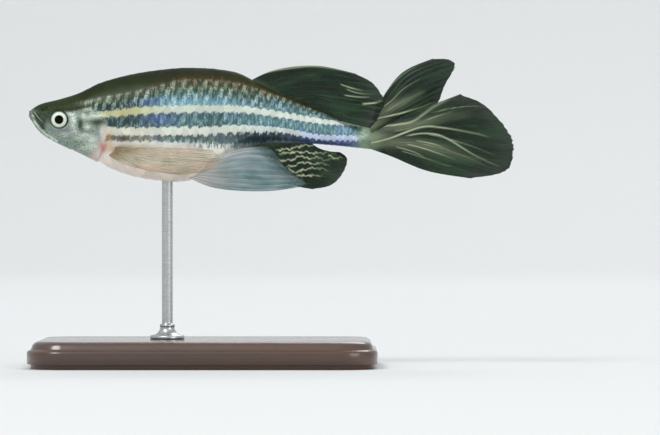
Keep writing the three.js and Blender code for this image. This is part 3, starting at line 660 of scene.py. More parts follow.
SKIN_RINGS, SKIN_SIDES = 300, 320
along_share = np.linspace(0, 1, SKIN_RINGS + 1)[1:]
ring_x = TAIL_WEDGE[1] * (0.5 * along_share + 0.5 * along_share**1.6) ** 2
side_share = np.linspace(-1, 1, SKIN_SIDES, endpoint=False)
grid_x, grid_share = np.meshgrid(ring_x, side_share, indexing="ij")
plain = body_at(grid_x, girth_angle(grid_x, grid_share), SKIN_DEPTH)
relief = head_relief(plain[..., 0], plain[..., 2])
normal = surface_normal(plain, closed=True)
skin_grid = plain + normal * relief[..., None]
skin_points, skin_faces = capped(skin_grid, flip=True)
side_x = np.append(plain[..., 0].ravel(), [0, TAIL_WEDGE[1]])
side_z = np.append(plain[..., 2].ravel(), [0, STATIONS[-1, -1]])
end_maps = [[0, 0.5], [TAIL_WEDGE[1] / MAP_SPAN, 0.5]]
skin_map = np.concatenate([skin_map_at(grid_x, grid_share).reshape(-1, 2), end_maps])


def ramp(tree, value, stops):
    """Colour ramp with straight blends between stops, each a place and a display colour."""
    made = node(tree, "ValToRGB", {"Fac": value})
    elements = made.color_ramp.elements
    elements[0].position, elements[1].position = stops[0][0], stops[-1][0]
    elements[0].color, elements[1].color = paint(*stops[0][1]), paint(*stops[-1][1])
    for place, colour in stops[1:-1]:
        elements.new(place).color = paint(*colour)
    return made.outputs["Color"]


# Each ramp's stops: the stripe coordinate and the display colour there.
FRONT_STOPS = [
    (0.00, (24, 32, 11)), (0.15, (42, 52, 22)), (0.185, (46, 58, 30)), (0.22, (40, 54, 32)),
    (0.27, (48, 60, 40)), (0.32, (34, 50, 36)), (0.335, (34, 52, 44)), (0.412, (36, 58, 58)),
    (0.424, (188, 190, 142)), (0.474, (186, 188, 146)), (0.486, (32, 58, 54)), (0.595, (40, 68, 60)),
    (0.607, (212, 212, 194)), (0.664, (214, 212, 196)), (0.676, (128, 122, 104)), (0.712, (128, 122, 106)),
    (0.728, (220, 218, 204)), (0.77, (214, 202, 182)), (0.86, (244, 234, 222)), (1.0, (246, 234, 224)),
]
MIDDLE_STOPS = [
    (0.00, (24, 27, 11)), (0.12, (42, 44, 20)), (0.175, (54, 50, 24)), (0.2, (46, 56, 32)),
    (0.24, (48, 66, 44)), (0.29, (50, 76, 62)), (0.325, (62, 98, 100)), (0.37, (92, 138, 146)),
    (0.412, (116, 160, 168)), (0.424, (202, 212, 196)), (0.474, (204, 212, 198)), (0.486, (52, 88, 92)),
    (0.54, (62, 100, 100)), (0.595, (52, 88, 88)), (0.607, (214, 219, 206)), (0.664, (214, 219, 208)),
    (0.676, (70, 90, 84)), (0.712, (92, 112, 106)), (0.728, (224, 230, 224)), (0.77, (240, 238, 226)),
    (0.86, (250, 243, 230)), (1.0, (246, 234, 220)),
]
REAR_STOPS = [
    (0.00, (28, 32, 14)), (0.14, (50, 46, 22)), (0.18, (50, 58, 32)), (0.24, (44, 62, 42)),
    (0.32, (48, 72, 64)), (0.37, (62, 98, 98)), (0.412, (72, 110, 114)), (0.424, (206, 214, 202)),
    (0.474, (206, 215, 206)), (0.486, (64, 106, 112)), (0.54, (84, 128, 132)), (0.595, (76, 116, 130)),
    (0.607, (210, 220, 210)), (0.664, (208, 218, 212)), (0.676, (32, 50, 57)), (0.712, (44, 62, 72)),
    (0.728, (126, 140, 144)), (0.77, (168, 178, 178)), (0.86, (200, 204, 200)), (1.0, (196, 196, 190)),
]
MARKS = ("stripe", "along", "head", "crown", "shade", "light", "pink", "red", "spot", "amber", "violet")


def window(value, rise, fall):
    """1 where a value is past its rise and short of its fall, each a pair to ease between."""
    return times(between(value.id_data, value, *rise), between(value.id_data, value, *fall))


def flank_colour(group, source, wide, fine, streaky):
    """Colour of the striped body: three ramps over the stripes, blended along it, then broken up.

    Ticks at the scales' free edges and bright and dim streaks cross the dark bands. Pearl,
    violet, navy, rust, amber and green lie where the stripe coordinate and the masks put them.
    """
    surface, band, along = source["Surface"], source["Stripe"], source["Along"]
    uneven = plus(times(fine, 0.03), times(worked(group, "SUBTRACT", streaky, 0.5), 0.035))
    notched = plus(plus(times(wide, 0.02), uneven), times(source["Tick"], -0.012))
    stripe = plus(band, times(notched, between(group, band, 0.02, 0.2)))
    front, middle, rear = (ramp(group, stripe, stops) for stops in (FRONT_STOPS, MIDDLE_STOPS, REAR_STOPS))
    drift = plus(along, times(wide, 0.12))
    body = mixed(group, between(group, drift, 0.32, 0.44), front, middle)
    body = mixed(group, between(group, drift, 0.57, 0.68), body, rear)

    # The head's pale marks and painted highlights run on over the front of the flank as pearl.
    pearl = times(source["Light"], between(group, band, 0.5, 0.47))
    body = mixed(group, times(pearl, 0.75), body, paint(210, 218, 200))
    far = between(group, drift, 0.75, 0.84)
    second_line = window(stripe, (0.598, 0.61), (0.672, 0.66))
    body = mixed(group, times(far, second_line, 0.75), body, paint(196, 208, 242))
    navy = times(between(group, stripe, 0.668, 0.684), between(group, band, 0.79, 0.74))
    body = mixed(group, times(far, navy, 0.5), body, paint(78, 96, 148))

    upper = window(band, (0.16, 0.2), (0.425, 0.41))
    lower = window(band, (0.475, 0.49), (0.61, 0.595))
    third = times(window(band, (0.665, 0.68), (0.74, 0.72)), between(group, along, 0.5, 0.6, 1.0, 0.25))
    tick = plus(upper, plus(times(lower, 0.6), times(third, 0.35)))
    tick = times(times(tick, source["Tick"]), between(group, fine, -0.15, 0.15, 0.1, 1.0))
    tick = times(tick, between(group, source["Vary"], 0.0, 1.0, 0.35, 1.0))
    tick = worked(group, "MINIMUM", times(tick, between(group, along, 0.3, 0.2, 1.0, 1.5)), 1.2)
    tick_colour = mixed(group, between(group, band, 0.24, 0.36), paint(176, 186, 160), paint(196, 224, 226))
    tick_colour = mixed(group, between(group, along, 0.36, 0.24, 0.0, 0.6), tick_colour, paint(160, 184, 150))
    body = mixed(group, times(tick, 0.75), body, tick_colour)
    banded = plus(upper, plus(lower, third))
    bright = times(banded, between(group, streaky, 0.52, 0.68))
    body = mixed(group, times(bright, 0.42), body, tick_colour)
    flecks = window(band, (0.71, 0.725), (0.79, 0.75))
    flecks = times(flecks, window(along, (0.46, 0.53), (0.68, 0.6)), between(group, streaky, 0.53, 0.44))
    body = mixed(group, times(flecks, 0.8), body, paint(70, 100, 94))
    dim = times(banded, between(group, streaky, 0.48, 0.34))
    body = mixed(group, times(dim, 0.45), body, paint(24, 42, 44))

    drifting = between(group, noise(group, surface, 26.0, 1.0), 0.5, 0.66, 0.0, 0.25)
    violet = times(plus(source["Violet"], drifting), between(group, band, 0.32, 0.35))
    violet = times(violet, between(group, band, 0.78, 0.73), between(group, fine, -0.16, 0.1, 0.6, 1.0))
    cream = plus(between(group, band, 0.41, 0.43), between(group, band, 0.49, 0.47))
    in_cream = times(worked(group, "SUBTRACT", cream, 1.0), 0.9)
    violet = times(violet, worked(group, "SUBTRACT", 1.0, in_cream))
    body = mixed(group, times(violet, 0.5), body, paint(88, 108, 176))
    rust = times(between(group, streaky, 0.5, 0.62), between(group, band, 0.1, 0.17))
    rust = times(rust, between(group, noise(group, surface, 20.0, 2.0), 0.38, 0.55))
    rust = times(rust, times(between(group, band, 0.27, 0.22), between(group, along, 0.34, 0.42)))
    body = mixed(group, times(rust, 0.6), body, paint(112, 62, 40))
    cells = noise(group, surface, 520.0, 2.0)
    dark = times(between(group, cells, 0.45, 0.7), between(group, band, 0.8, 0.7))
    body = mixed(group, times(dark, 0.3), body, mixed(group, 0.6, body, paint(30, 44, 44)))
    # Dark pigment spots, and painted shade under the belly's rear.
    body = mixed(group, times(source["Spot"], 0.85), body, paint(38, 36, 44))
    body = mixed(group, times(source["Amber"], 0.8), body, paint(186, 138, 72))

    lengthways = noise(group, stretched(group, surface, (30.0, 240.0, 1.0)), 1.0, 3.0)
    frayed = plus(along, plus(times(fine, 0.05), times(lengthways, 0.05)))
    fan = mixed(group, source["Light"], paint(124, 148, 116), paint(206, 220, 180))
    fan = mixed(group, between(group, lengthways, 0.42, 0.6, 0.0, 0.6), fan, paint(84, 106, 80))
    fan = mixed(group, between(group, along, 0.99, 1.014, 0.0, 0.8), fan, paint(88, 108, 80))
    return mixed(group, times(between(group, frayed, 0.98, 1.02), 0.9), body, fan)


def head_colour(group, source):
    """Colour of the head: mottled silver cheeks with dark patches and painted shade, pale marks and painted
    highlights, and a dark crown.
    """
    mottle = noise(group, source["Surface"], 210.0, 2.0, 0.55)
    patches = noise(group, source["Surface"], 60.0, 2.0)
    broken = between(group, mottle, 0.34, 0.6, 0.45, 1.0)
    dusky = between(group, mottle, 0.34, 0.6, 0.7, 1.0)
    cheek = mixed(group, between(group, mottle, 0.36, 0.66), paint(84, 104, 88), paint(146, 164, 148))
    for mask, tint in (
        (between(group, patches, 0.4, 0.65, 0.0, 0.5), paint(146, 162, 154)),
        (times(source["Violet"], 0.75), paint(152, 156, 168)),
        # painted shade, with dark pigment patches
        (times(source["Shade"], dusky, 0.95), paint(30, 42, 18)),
        # painted highlights, with pale marks
        (times(source["Light"], broken, 0.95), paint(228, 238, 222)),
        (times(source["Pink"], 0.7), paint(222, 200, 192)),
    ):
        cheek = mixed(group, mask, cheek, tint)
    crown = mixed(group, between(group, mottle, 0.35, 0.65), paint(28, 38, 16), paint(48, 60, 30))
    return mixed(group, source["Crown"], cheek, crown)


def markings_group():
    """Node group: the fish's colour, sheen and gloss from the marks and a place on the skin.

    The head's colour gives way to the flank's along a ragged border. The sheen is where the skin
    is silvery, and the gloss leaves out the dark back.
    """
    group = bpy.data.node_groups.new("fish_markings", "ShaderNodeTree")
    for mark in (*MARKS, "tick", "vary"):
        group.interface.new_socket(mark.capitalize(), in_out="INPUT", socket_type="NodeSocketFloat")
    group.interface.new_socket("Surface", in_out="INPUT", socket_type="NodeSocketVector")
    for name, kind in (("Color", "Color"), ("Sheen", "Float"), ("Gloss", "Float")):
        group.interface.new_socket(name, in_out="OUTPUT", socket_type="NodeSocket" + kind)
    source = group.nodes.new("NodeGroupInput").outputs
    result = group.nodes.new("NodeGroupOutput").inputs
    surface, band = source["Surface"], source["Stripe"]
    streaky = noise(group, stretched(group, surface, (150.0, 42.0, 1.0)), 1.0, 3.0, 0.6)
    wide = worked(group, "SUBTRACT", noise(group, surface, 70.0, 2.0), 0.5)
    fine = worked(group, "SUBTRACT", noise(group, surface, 240.0, 3.0, 0.6), 0.5)

    border = plus(source["Head"], plus(times(fine, 1.1), times(wide, 0.8)))
    flank = flank_colour(group, source, wide, fine, streaky)
    colour = mixed(group, between(group, border, 0.25, 0.75), flank, head_colour(group, source))
    colour = mixed(group, times(source["Red"], 0.75), colour, paint(190, 92, 92))
    fresh = between(group, source["Vary"], 0.0, 1.0, 0.9, 1.1)
    fresh = node(group, "CombineColor", {0: fresh, 1: fresh, 2: fresh}).outputs[0]
    cheek_shine = times(worked(group, "SUBTRACT", 1.0, source["Crown"]),
                        between(group, source["Shade"], 0.0, 1.0, 1.0, 0.3))
    silver = window(band, (0.24, 0.34), (0.85, 0.7))
    glossy = between(group, band, 0.1, 0.32)
    group.links.new(mixed(group, 1.0, colour, fresh, "MULTIPLY"), result["Color"])
    for name, on_flank in (("Sheen", silver), ("Gloss", glossy)):
        blend = node(group, "Mix", {0: source["Head"], 2: on_flank, 3: cheek_shine})
        group.links.new(blend.outputs[0], result[name])
    return group


def marked_material(name, group, plated, **constants):
    """A material coloured by the markings group from the piece's own marks."""
    material, tree, shader = new_material(name, **constants)
    painted = tree.nodes.new("ShaderNodeGroup")
    painted.node_tree = group
    painted.inputs["Vary"].default_value = 0.5
    for mark in (*MARKS, "vary") if plated else MARKS:
        read = node(tree, "Attribute", attribute_name=mark)
        tree.links.new(read.outputs["Fac"], painted.inputs[mark.capitalize()])
    surface = node(tree, "UVMap", uv_map="SkinMap").outputs[0]
    tree.links.new(surface, painted.inputs["Surface"])
    wire(shader, Base_Color=painted.outputs["Color"])
    return material, tree, shader, surface, painted


def wet_finish(tree, shader, painted, grain, metal, coat):
    """Silvery places are smoother, more metallic and more coated than the dark back."""
    gloss = painted.outputs["Gloss"]
    rough = plus(between(tree, grain, 0.3, 0.7, 0.0, 0.12), between(tree, gloss, 0.0, 1.0, 0.62, 0.3))
    wire(shader, Roughness=rough, Metallic=times(painted.outputs["Sheen"], metal),
         Coat_Weight=between(tree, gloss, 0.0, 1.0, 0.03, coat))


fish_group = markings_group()
skin_material, tree, shader, surface, painted = marked_material(
    "fish_skin", fish_group, False, Coat_Roughness=0.15, Specular_IOR_Level=0.12)
grainy = noise(tree, surface, 300.0, 4.0, 0.6)
wet_finish(tree, shader, painted, grainy, 0.35, 0.45)
wire(shader, Normal=bumped(tree, grainy, 0.35, 0.00003))
skin_marks = markings(side_x, side_z)
skin_marks["along"] = side_x / LENGTH
skin = new_piece("skin", placed(skin_points), skin_faces, skin_material,
                 {"OFBake": skin_map, "SkinMap": skin_map}, skin_marks)
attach(skin, "root")
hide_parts("head", "lower_jaw", "gill_cover_left", "gill_cover_right", "trunk", "tail_stem")

# The scales are thin overlapping plates in rows that run with the stripes, rear edges free.
# On a real fish each is a clear bony plate over the coloured skin; in the cast they stand in relief.
ROW_LINE = at_pixel([60, 105, 140, 180, 200, 240, 280, 320, 350, 380],
                    [123, 122.4, 120.9, 119.8, 119.5, 118.9, 122.3, 128.6, 129.85, 130.0])
SCALE_START, SCALE_END = 4.4, 38.3
COLUMN_PITCH = ([7, 12, 17, 23, 30, 37], [0.85, 1.1, 1.22, 1.0, 0.72, 0.55])
ROW_PITCH = ([7, 17, 24, 31, 37], [0.8, 1.02, 0.84, 0.6, 0.5])
ROW_RANGE = (-13, 13)
PLATE_ALONG, PLATE_ACROSS = 7, 7
PLATE_LENGTH, PLATE_WIDTH = 1.75, 2.15
PLATE_ROOT = 0.3
SHEET_RISES = (0.012, -0.008)
ROOT_DEPTH, EDGE_LIFT = 0.015, 0.052
OVAL_MIDDLE, OVAL_REACH, OVAL_POWER, OVAL_LEAST = 0.42, 0.585, 2.3, 0.012
LENGTH_SPREAD, WIDTH_SPREAD = (0.94, 1.06), (0.95, 1.05)
PAST_RIDGE = 0.02
HEAD_OVERLAP, BACK_GAP = 0.1, 0.25
LAST_ROOT, ROOT_BULGE, STEM_MIDDLE, STEM_HALF = 36.1, 0.5, -2.75, 1.3
OWN_STRIPE = 0.06
PATCH = 0.003
column_x = np.linspace(SCALE_START, SCALE_END, 600)
column_step, row_step = np.interp(column_x, *COLUMN_PITCH), np.interp(column_x, *ROW_PITCH)
column_count = np.concatenate([[0], np.cumsum(np.diff(column_x) / column_step[1:])])


def share_of_level(x, level):
    """Share of the half girth where the flesh stands at a level, by the nearest table entry."""
    heights = body_at(x[:, None], girth_angle(x[:, None], table_shares[None, :]), SKIN_DEPTH)[..., 2]
    return table_shares[np.abs(heights - level[:, None]).argmin(1)]


column_share = share_of_level(column_x, np.interp(column_x, *ROW_LINE))
rows, columns = np.meshgrid(np.arange(*ROW_RANGE), np.arange(0, int(column_count[-1]) + 1), indexing="ij")
rows, columns = rows.ravel(), columns.ravel()
root_x = np.interp(columns + 0.5 * (rows % 2), column_count, column_x)
rise = rows * np.interp(root_x, column_x, row_step) / girth_at(root_x)
root_share = np.interp(root_x, column_x, column_share) - rise
root_place = body_at(root_x, girth_angle(root_x, root_share), SKIN_DEPTH)
behind_head, _ = near_line(head_end_path, root_place[:, 0], root_place[:, 2])
kept = (root_share > -PAST_RIDGE) & (root_share < 1 + PAST_RIDGE)
kept &= behind_head > -HEAD_OVERLAP + BACK_GAP * eased(root_place[:, 2], 0.0, 1.0)
kept &= root_x < LAST_ROOT + ROOT_BULGE * (1 - ((root_place[:, 2] - STEM_MIDDLE) / STEM_HALF) ** 2)
root_x, root_share, root_place = root_x[kept], root_share[kept], root_place[kept]
draw = np.random.default_rng(7)
plate_length = PLATE_LENGTH * np.interp(root_x, column_x, column_step)
plate_length *= draw.uniform(*LENGTH_SPREAD, len(root_x))
plate_width = PLATE_WIDTH * np.interp(root_x, column_x, row_step)
plate_width *= draw.uniform(*WIDTH_SPREAD, len(root_x))


def plate_faces():
    """Quads of a plate's upper and lower sheets, which share their border, and the points in use."""
    size = PLATE_ALONG * PLATE_ACROSS
    index = np.arange(size).reshape(PLATE_ALONG, PLATE_ACROSS)
    under = index.copy()
    under[1:-1, 1:-1] += size
    top = np.stack([index[:-1, :-1], index[:-1, 1:], index[1:, 1:], index[1:, :-1]], axis=-1)
    low = np.stack([under[:-1, :-1], under[1:, :-1], under[1:, 1:], under[:-1, 1:]], axis=-1)
    used, faces = np.unique(np.concatenate([top.reshape(-1, 4), low.reshape(-1, 4)]), return_inverse=True)
    return faces.reshape(-1, 4), used


def on_plates(values, used):
    """Values on every plate's grid, given to both of its sheets, at the points in use."""
    values = np.broadcast_to(values, (len(root_x), PLATE_ALONG, PLATE_ACROSS)).reshape(len(root_x), -1)
    return np.concatenate([values, values], axis=1)[:, used].ravel()


def plates(side):
    """All the scales of one side as closed lens-shaped plates, with their maps and marks.

    A plate is a grid: along it runs from root to free edge, across it narrows as an oval. The
    free edge lifts off the skin; the upper and lower sheets share their border points.
    """
    along = np.sin(np.linspace(0, 1, PLATE_ALONG) * np.pi / 2)[:, None]
    crosswise = np.sin(np.linspace(-1, 1, PLATE_ACROSS) * np.pi / 2)[None, :]
    oval = 1 - (np.abs(along - OVAL_MIDDLE) / OVAL_REACH) ** OVAL_POWER
    across = crosswise * np.sqrt(np.clip(oval, OVAL_LEAST, 1))
    dome = (1 - crosswise**2) * np.sin(along * np.pi * 0.96)
    x = root_x[:, None, None] + (along - PLATE_ROOT) * plate_length[:, None, None] + 0 * across
    share = root_share[:, None, None] + across * (plate_width[:, None, None] / 2 / girth_at(x))
    x = np.minimum(x, TAIL_WEDGE[1])
    place, out = skin_frame(x, share * side)
    gill, _ = near_line(gill_path, place[..., 0], place[..., 2])
    sheets = []
    for rise in SHEET_RISES:
        lift = -ROOT_DEPTH + EDGE_LIFT * along**1.5 + rise * dome + gill_drop(gill, place[..., 2])
        sheets.append((place + out * lift[..., None]).reshape(len(root_x), -1, 3))
    faces, used = plate_faces()
    points = np.concatenate(sheets, axis=1)[:, used].reshape(-1, 3)
    faces = faces[:, ::-1] if side > 0 else faces
    faces = faces + (np.arange(len(root_x)) * len(used))[:, None, None]

    x, share = on_plates(x, used), on_plates(share, used)
    along, across = on_plates(along, used), on_plates(across, used)
    flat = body_at(x, girth_angle(x, share), SKIN_DEPTH)
    marks = markings(flat[:, 0], flat[:, 2])
    marks["along"] = x / LENGTH
    whole = np.repeat(stripe_at(root_place[:, 0], root_place[:, 2]), len(used))
    near = np.abs(whole - marks["stripe"]) < 0.1
    marks["stripe"] = marks["stripe"] + OWN_STRIPE * near * (whole - marks["stripe"])
    marks["vary"] = np.repeat(draw.uniform(0, 1, len(root_x)), len(used))
    root_map = np.repeat(skin_map_at(root_x, root_share * side), len(used), axis=0)
    maps = {
        "OFBake": root_map + np.stack([along - 0.5, across / 2], axis=-1) * PATCH,
        "SkinMap": skin_map_at(x, share * side),
        "PlateMap": np.stack([along, 0.5 + 0.5 * across], axis=-1),
    }
    return points, faces.reshape(-1, 4).tolist(), maps, marks


def skin_frame(x, share):
    """Skin point and its outward normal, the normal from small steps along and round."""
    step = 0.02
    place = body_at(x, girth_angle(x, share), SKIN_DEPTH)
    ahead = body_at(x + step, girth_angle(x + step, share), SKIN_DEPTH)
    behind = body_at(x - step, girth_angle(x - step, share), SKIN_DEPTH)
    lower = body_at(x, girth_angle(x, share + step), SKIN_DEPTH)
    upper = body_at(x, girth_angle(x, share - step), SKIN_DEPTH)
    out = np.cross(ahead - behind, lower - upper)
    return place, out / np.maximum(np.linalg.norm(out, axis=-1, keepdims=True), 1e-9)


scale_material, tree, shader, surface, painted = marked_material(
    "scale_plates", fish_group, True, Coat_Roughness=0.12, Specular_IOR_Level=0.12)
own = node(tree, "UVMap", uv_map="PlateMap").outputs[0]
parts = node(tree, "SeparateXYZ", {0: own}).outputs
slant = worked(tree, "MULTIPLY_ADD", parts[1], 0.22, plus(parts[0], -0.11))
from_streak = worked(tree, "ABSOLUTE", worked(tree, "SUBTRACT", slant, 0.76))
from_middle = worked(tree, "ABSOLUTE", worked(tree, "SUBTRACT", parts[1], 0.5))
streak = times(between(tree, from_streak, 0.16, 0.06), between(tree, from_middle, 0.4, 0.16))
tree.links.new(streak, painted.inputs["Tick"])
centred = stretched(tree, own, (1.0, 1.0, 1.0), (-0.2, -0.5, 0.0))
circles = node(tree, "TexWave", {"Vector": centred, "Scale": 9.0, "Distortion": 0.8},
               wave_type="RINGS", rings_direction="Z").outputs["Fac"]
wet_finish(tree, shader, painted, noise(tree, surface, 300.0), 0.45, 0.6)
wire(shader, Normal=bumped(tree, circles, 0.12, 0.00001))
for side, name in ((-1, "scales_left"), (1, "scales_right")):
    points, faces, maps, marks = plates(side)
    scales = new_piece(name, placed(points), faces, scale_material, maps, marks)
    scales.data.set_sharp_from_angle(angle=math.radians(60))
    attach(scales, "root")

# The eyes are glass or clear resin balls: a silver iris ring round a black pupil, set in sockets.
# Each is a flattened ball turned about the line straight out of the head.
IRIS_RADIUS, PUPIL_RADIUS = 0.84, 0.49
EYE_RINGS, EYE_SIDES = 40, 64
FIRST_LEAN, LAST_LEAN = 0.02, 0.97 * np.pi
eye_material, tree, shader = new_material(
    "eye_glass", Coat_Roughness=0.02, Roughness=0.3, Coat_IOR=1.4, Specular_IOR_Level=0.05)
ringed = node(tree, "Attribute", attribute_name="ring").outputs["Fac"]
spokes = noise(tree, node(tree, "UVMap", uv_map="EyeMap").outputs[0], 22.0, 3.0)
iris = mixed(tree, spokes, paint(190, 202, 186), paint(228, 236, 220))
iris = mixed(tree, between(tree, ringed, 0.6, 0.54), iris, paint(206, 210, 184))
iris = mixed(tree, between(tree, ringed, PUPIL_RADIUS + 0.02, PUPIL_RADIUS - 0.02), iris, paint(3, 4, 3))
iris = mixed(tree, between(tree, ringed, IRIS_RADIUS - 0.06, IRIS_RADIUS + 0.04), iris, paint(92, 102, 100))
wire(shader, Base_Color=iris, Coat_Weight=between(tree, ringed, PUPIL_RADIUS, PUPIL_RADIUS + 0.2, 0.1, 0.5))
lean = np.linspace(FIRST_LEAN, LAST_LEAN, EYE_RINGS)
turn = np.linspace(0, 2 * np.pi, EYE_SIDES, endpoint=False)
radius, depth = EYE_RADIUS * np.sin(lean), EYE_DEPTH * np.cos(lean)
distance = np.repeat(np.where(lean < np.pi / 2, radius, 2 - radius), EYE_SIDES)
ring = np.append(distance, [0, 2])
circle = 0.5 + 0.5 * np.stack([np.cos(turn), np.sin(turn)], axis=-1)
eye_map = np.concatenate([np.tile(circle, (EYE_RINGS, 1)), [[0.5, 0.5]] * 2])
for side, name in ((-1, "left"), (1, "right")):
    rings = np.stack([
        EYE_X + np.outer(radius, np.cos(turn)),
        np.repeat(side * (EYE_Y + depth)[:, None], EYE_SIDES, 1),
        EYE_Z + np.outer(radius, np.sin(turn)),
    ], axis=-1)
    points, faces = capped(rings, flip=side < 0)
    eye = new_piece("eyeball_" + name, placed(points), faces, eye_material,
                    {"EyeMap": eye_map}, {"ring": ring})
    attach(eye, "root")
    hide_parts("eye_" + name)

# The barbels are two pairs of soft feelers, one from the upper lip and one from the mouth corner.
# They are cast as fine tapered wires of resin and set in pits of the skin.
JAW_FEELER = [[2.05, -1.75], [2.6, -2.35], [3.4, -2.85], [4.4, -3.2], [5.3, -3.45]]
SNOUT_FEELER = [[0.75, 0.05], [1.05, -0.3], [1.4, -0.75], [1.8, -1.15]]
FEELER_ROOT, FEELER_TIP = 0.075, 0.025
FEELER_RINGS, FEELER_SIDES = 24, 10
SUNK, CLEAR = 0.25, 0.37
TUBE_END = 0.35


def side_at(x, z):
    """Half width of the flesh at a place of the side view, from its cross-section's ovals."""
    back, belly, half, widest = section_at(x)
    share = np.where(z > widest, (z - widest) / (back - widest), (widest - z) / (widest - belly))
    return half * np.clip(1 - np.clip(share, 0, 1) ** 2, 0, 1) ** (SIDE_POWER / 2)


def tubes(paths, radii, sides):
    """Closed tubes along many paths at once; each ring lies across its path, round the Y axis."""
    heading = np.gradient(paths, axis=1)
    heading /= np.maximum(np.linalg.norm(heading, axis=-1, keepdims=True), 1e-9)
    first = np.cross(heading, [0.0, 1.0, 0.0])
    first /= np.maximum(np.linalg.norm(first, axis=-1, keepdims=True), 1e-9)
    second = np.cross(heading, first)
    turn = np.linspace(0, 2 * np.pi, sides, endpoint=False)
    ring = first[:, :, None] * np.cos(turn)[:, None] + second[:, :, None] * np.sin(turn)[:, None]
    radii = radii.copy()
    radii[:, [0, -1]] *= TUBE_END
    rings = paths[:, :, None] + ring * radii[:, :, None, None]
    count, length = paths.shape[:2]
    points, faces = capped(rings[0])
    whole = np.concatenate([rings.reshape(count, -1, 3), paths[:, :1], paths[:, -1:]], axis=1)
    quads, fans = np.array(faces[: (length - 1) * sides]), np.array(faces[(length - 1) * sides:])
    offset = (np.arange(count) * len(points))[:, None, None]
    return whole.reshape(-1, 3), [
        *(quads + offset).reshape(-1, 4).tolist(),
        *(fans + offset).reshape(-1, 3).tolist(),
    ]


feeler_material, tree, shader = new_material("feeler_skin", Coat_Weight=0.3)
banding = noise(tree, node(tree, "TexCoord").outputs["Object"], 2600.0, 3.0)
wire(shader, Base_Color=mixed(tree, banding, paint(92, 108, 90), paint(146, 160, 140)),
     Roughness=between(tree, banding, 0.3, 0.7, 0.4, 0.55))
share = even(FEELER_RINGS)
for side, word in ((-1, "left"), (1, "right")):
    for part, line in (("snout", SNOUT_FEELER), ("jaw", JAW_FEELER)):
        path = smooth_path(line, FEELER_RINGS)
        out = side_at(path[:, 0], path[:, 1]) - SUNK + (SUNK + CLEAR) * eased(share, 0, 0.25)
        place = np.stack([path[:, 0], side * out, path[:, 1]], axis=-1)[None]
        radii = (FEELER_ROOT + (FEELER_TIP - FEELER_ROOT) * share**0.8)[None]
        points, faces = tubes(place, radii, FEELER_SIDES)
        feeler = new_piece(f"feeler_{part}_{word}", placed(points), faces, feeler_material)
        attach(feeler, "root")
        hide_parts(f"barbel_{part}_{word}")

# The fins are thin translucent films between many fine rays that branch towards the edge.
# On the model they are cast in tinted clear resin over the rays, long and flowing on this strain.
FILM_ROOT, FILM_EDGE = 0.07, 0.03
FILM_ROWS, COLUMNS_PER_RAY = 96, 8
RAY_STEM, RAY_TIP = 0.06, 0.022
RAY_POINTS, RAY_SIDES = 24, 6
RAY_BRANCHES = (  # start, end and places beside the stem, for the stem, the branches and the twigs
    (None, 0.42, [0.0]),
    (0.38, 0.72, [-1.0, 1.0]),
    (0.68, 0.985, [-1.5, -0.5, 0.5, 1.5]),
)
RAY_ROOM, BRANCH_SPREAD, TWIG_SPREAD = 0.25, 0.9, 0.95
BRANCH_RUN = 0.3
SIDE_MARGIN = 0.004
TAIL_ROOT = -0.12
FRONT_ROUNDING, REAR_ROUNDING = (0.05, 0.08), (0.03, 0.06)
PLEAT = 0.05
FILM_REACH, SCALLOP, FRAY = 0.99, 0.004, 0.005


def dorsal_curl(x, u, v):
    """Sideways place: it leaves the back's middle line and leans 1.5 mm left, in a slow wave."""
    return middle_at(np.minimum(x, 30)) - 1.5 * u**2 + 0.12 * np.sin(7 * v + 2 * u) * u


def anal_curl(x, u, v):
    """Sideways place: from the body's middle line to the middle plane at the edge, in a slow wave."""
    return middle_at(x) * (1 - u) + 0.15 * np.sin(6 * v + 3 * u) * u


def upper_lobe_curl(x, u, v):
    """Sideways place: it leans 1.1 mm right towards its tips, in a slow wave."""
    return 0.9 + 1.1 * u + 0.25 * np.sin(5 * v + 4 * u) * u


def lower_lobe_curl(x, u, v):
    """Sideways place: a little right at first, then back to the left, in a slow wave."""
    return 0.9 + 0.5 * u - 1.5 * u**2 + 0.3 * np.sin(4 * v - 3 * u) * u


def pelvic_curl(x, u, v):
    """Sideways place: it steps off the belly near its root, more so at its upper edge."""
    return 0.95 + (0.5 + 0.45 * v) * eased(u / 0.35) + 0.35 * u


def pectoral_curl(x, u, v):
    """Sideways place: from inside the flank near its root to clear of it, wider towards the tips."""
    return side_at(x, -4.2) - 0.7 + 1.35 * eased(u / 0.12) + 0.9 * u


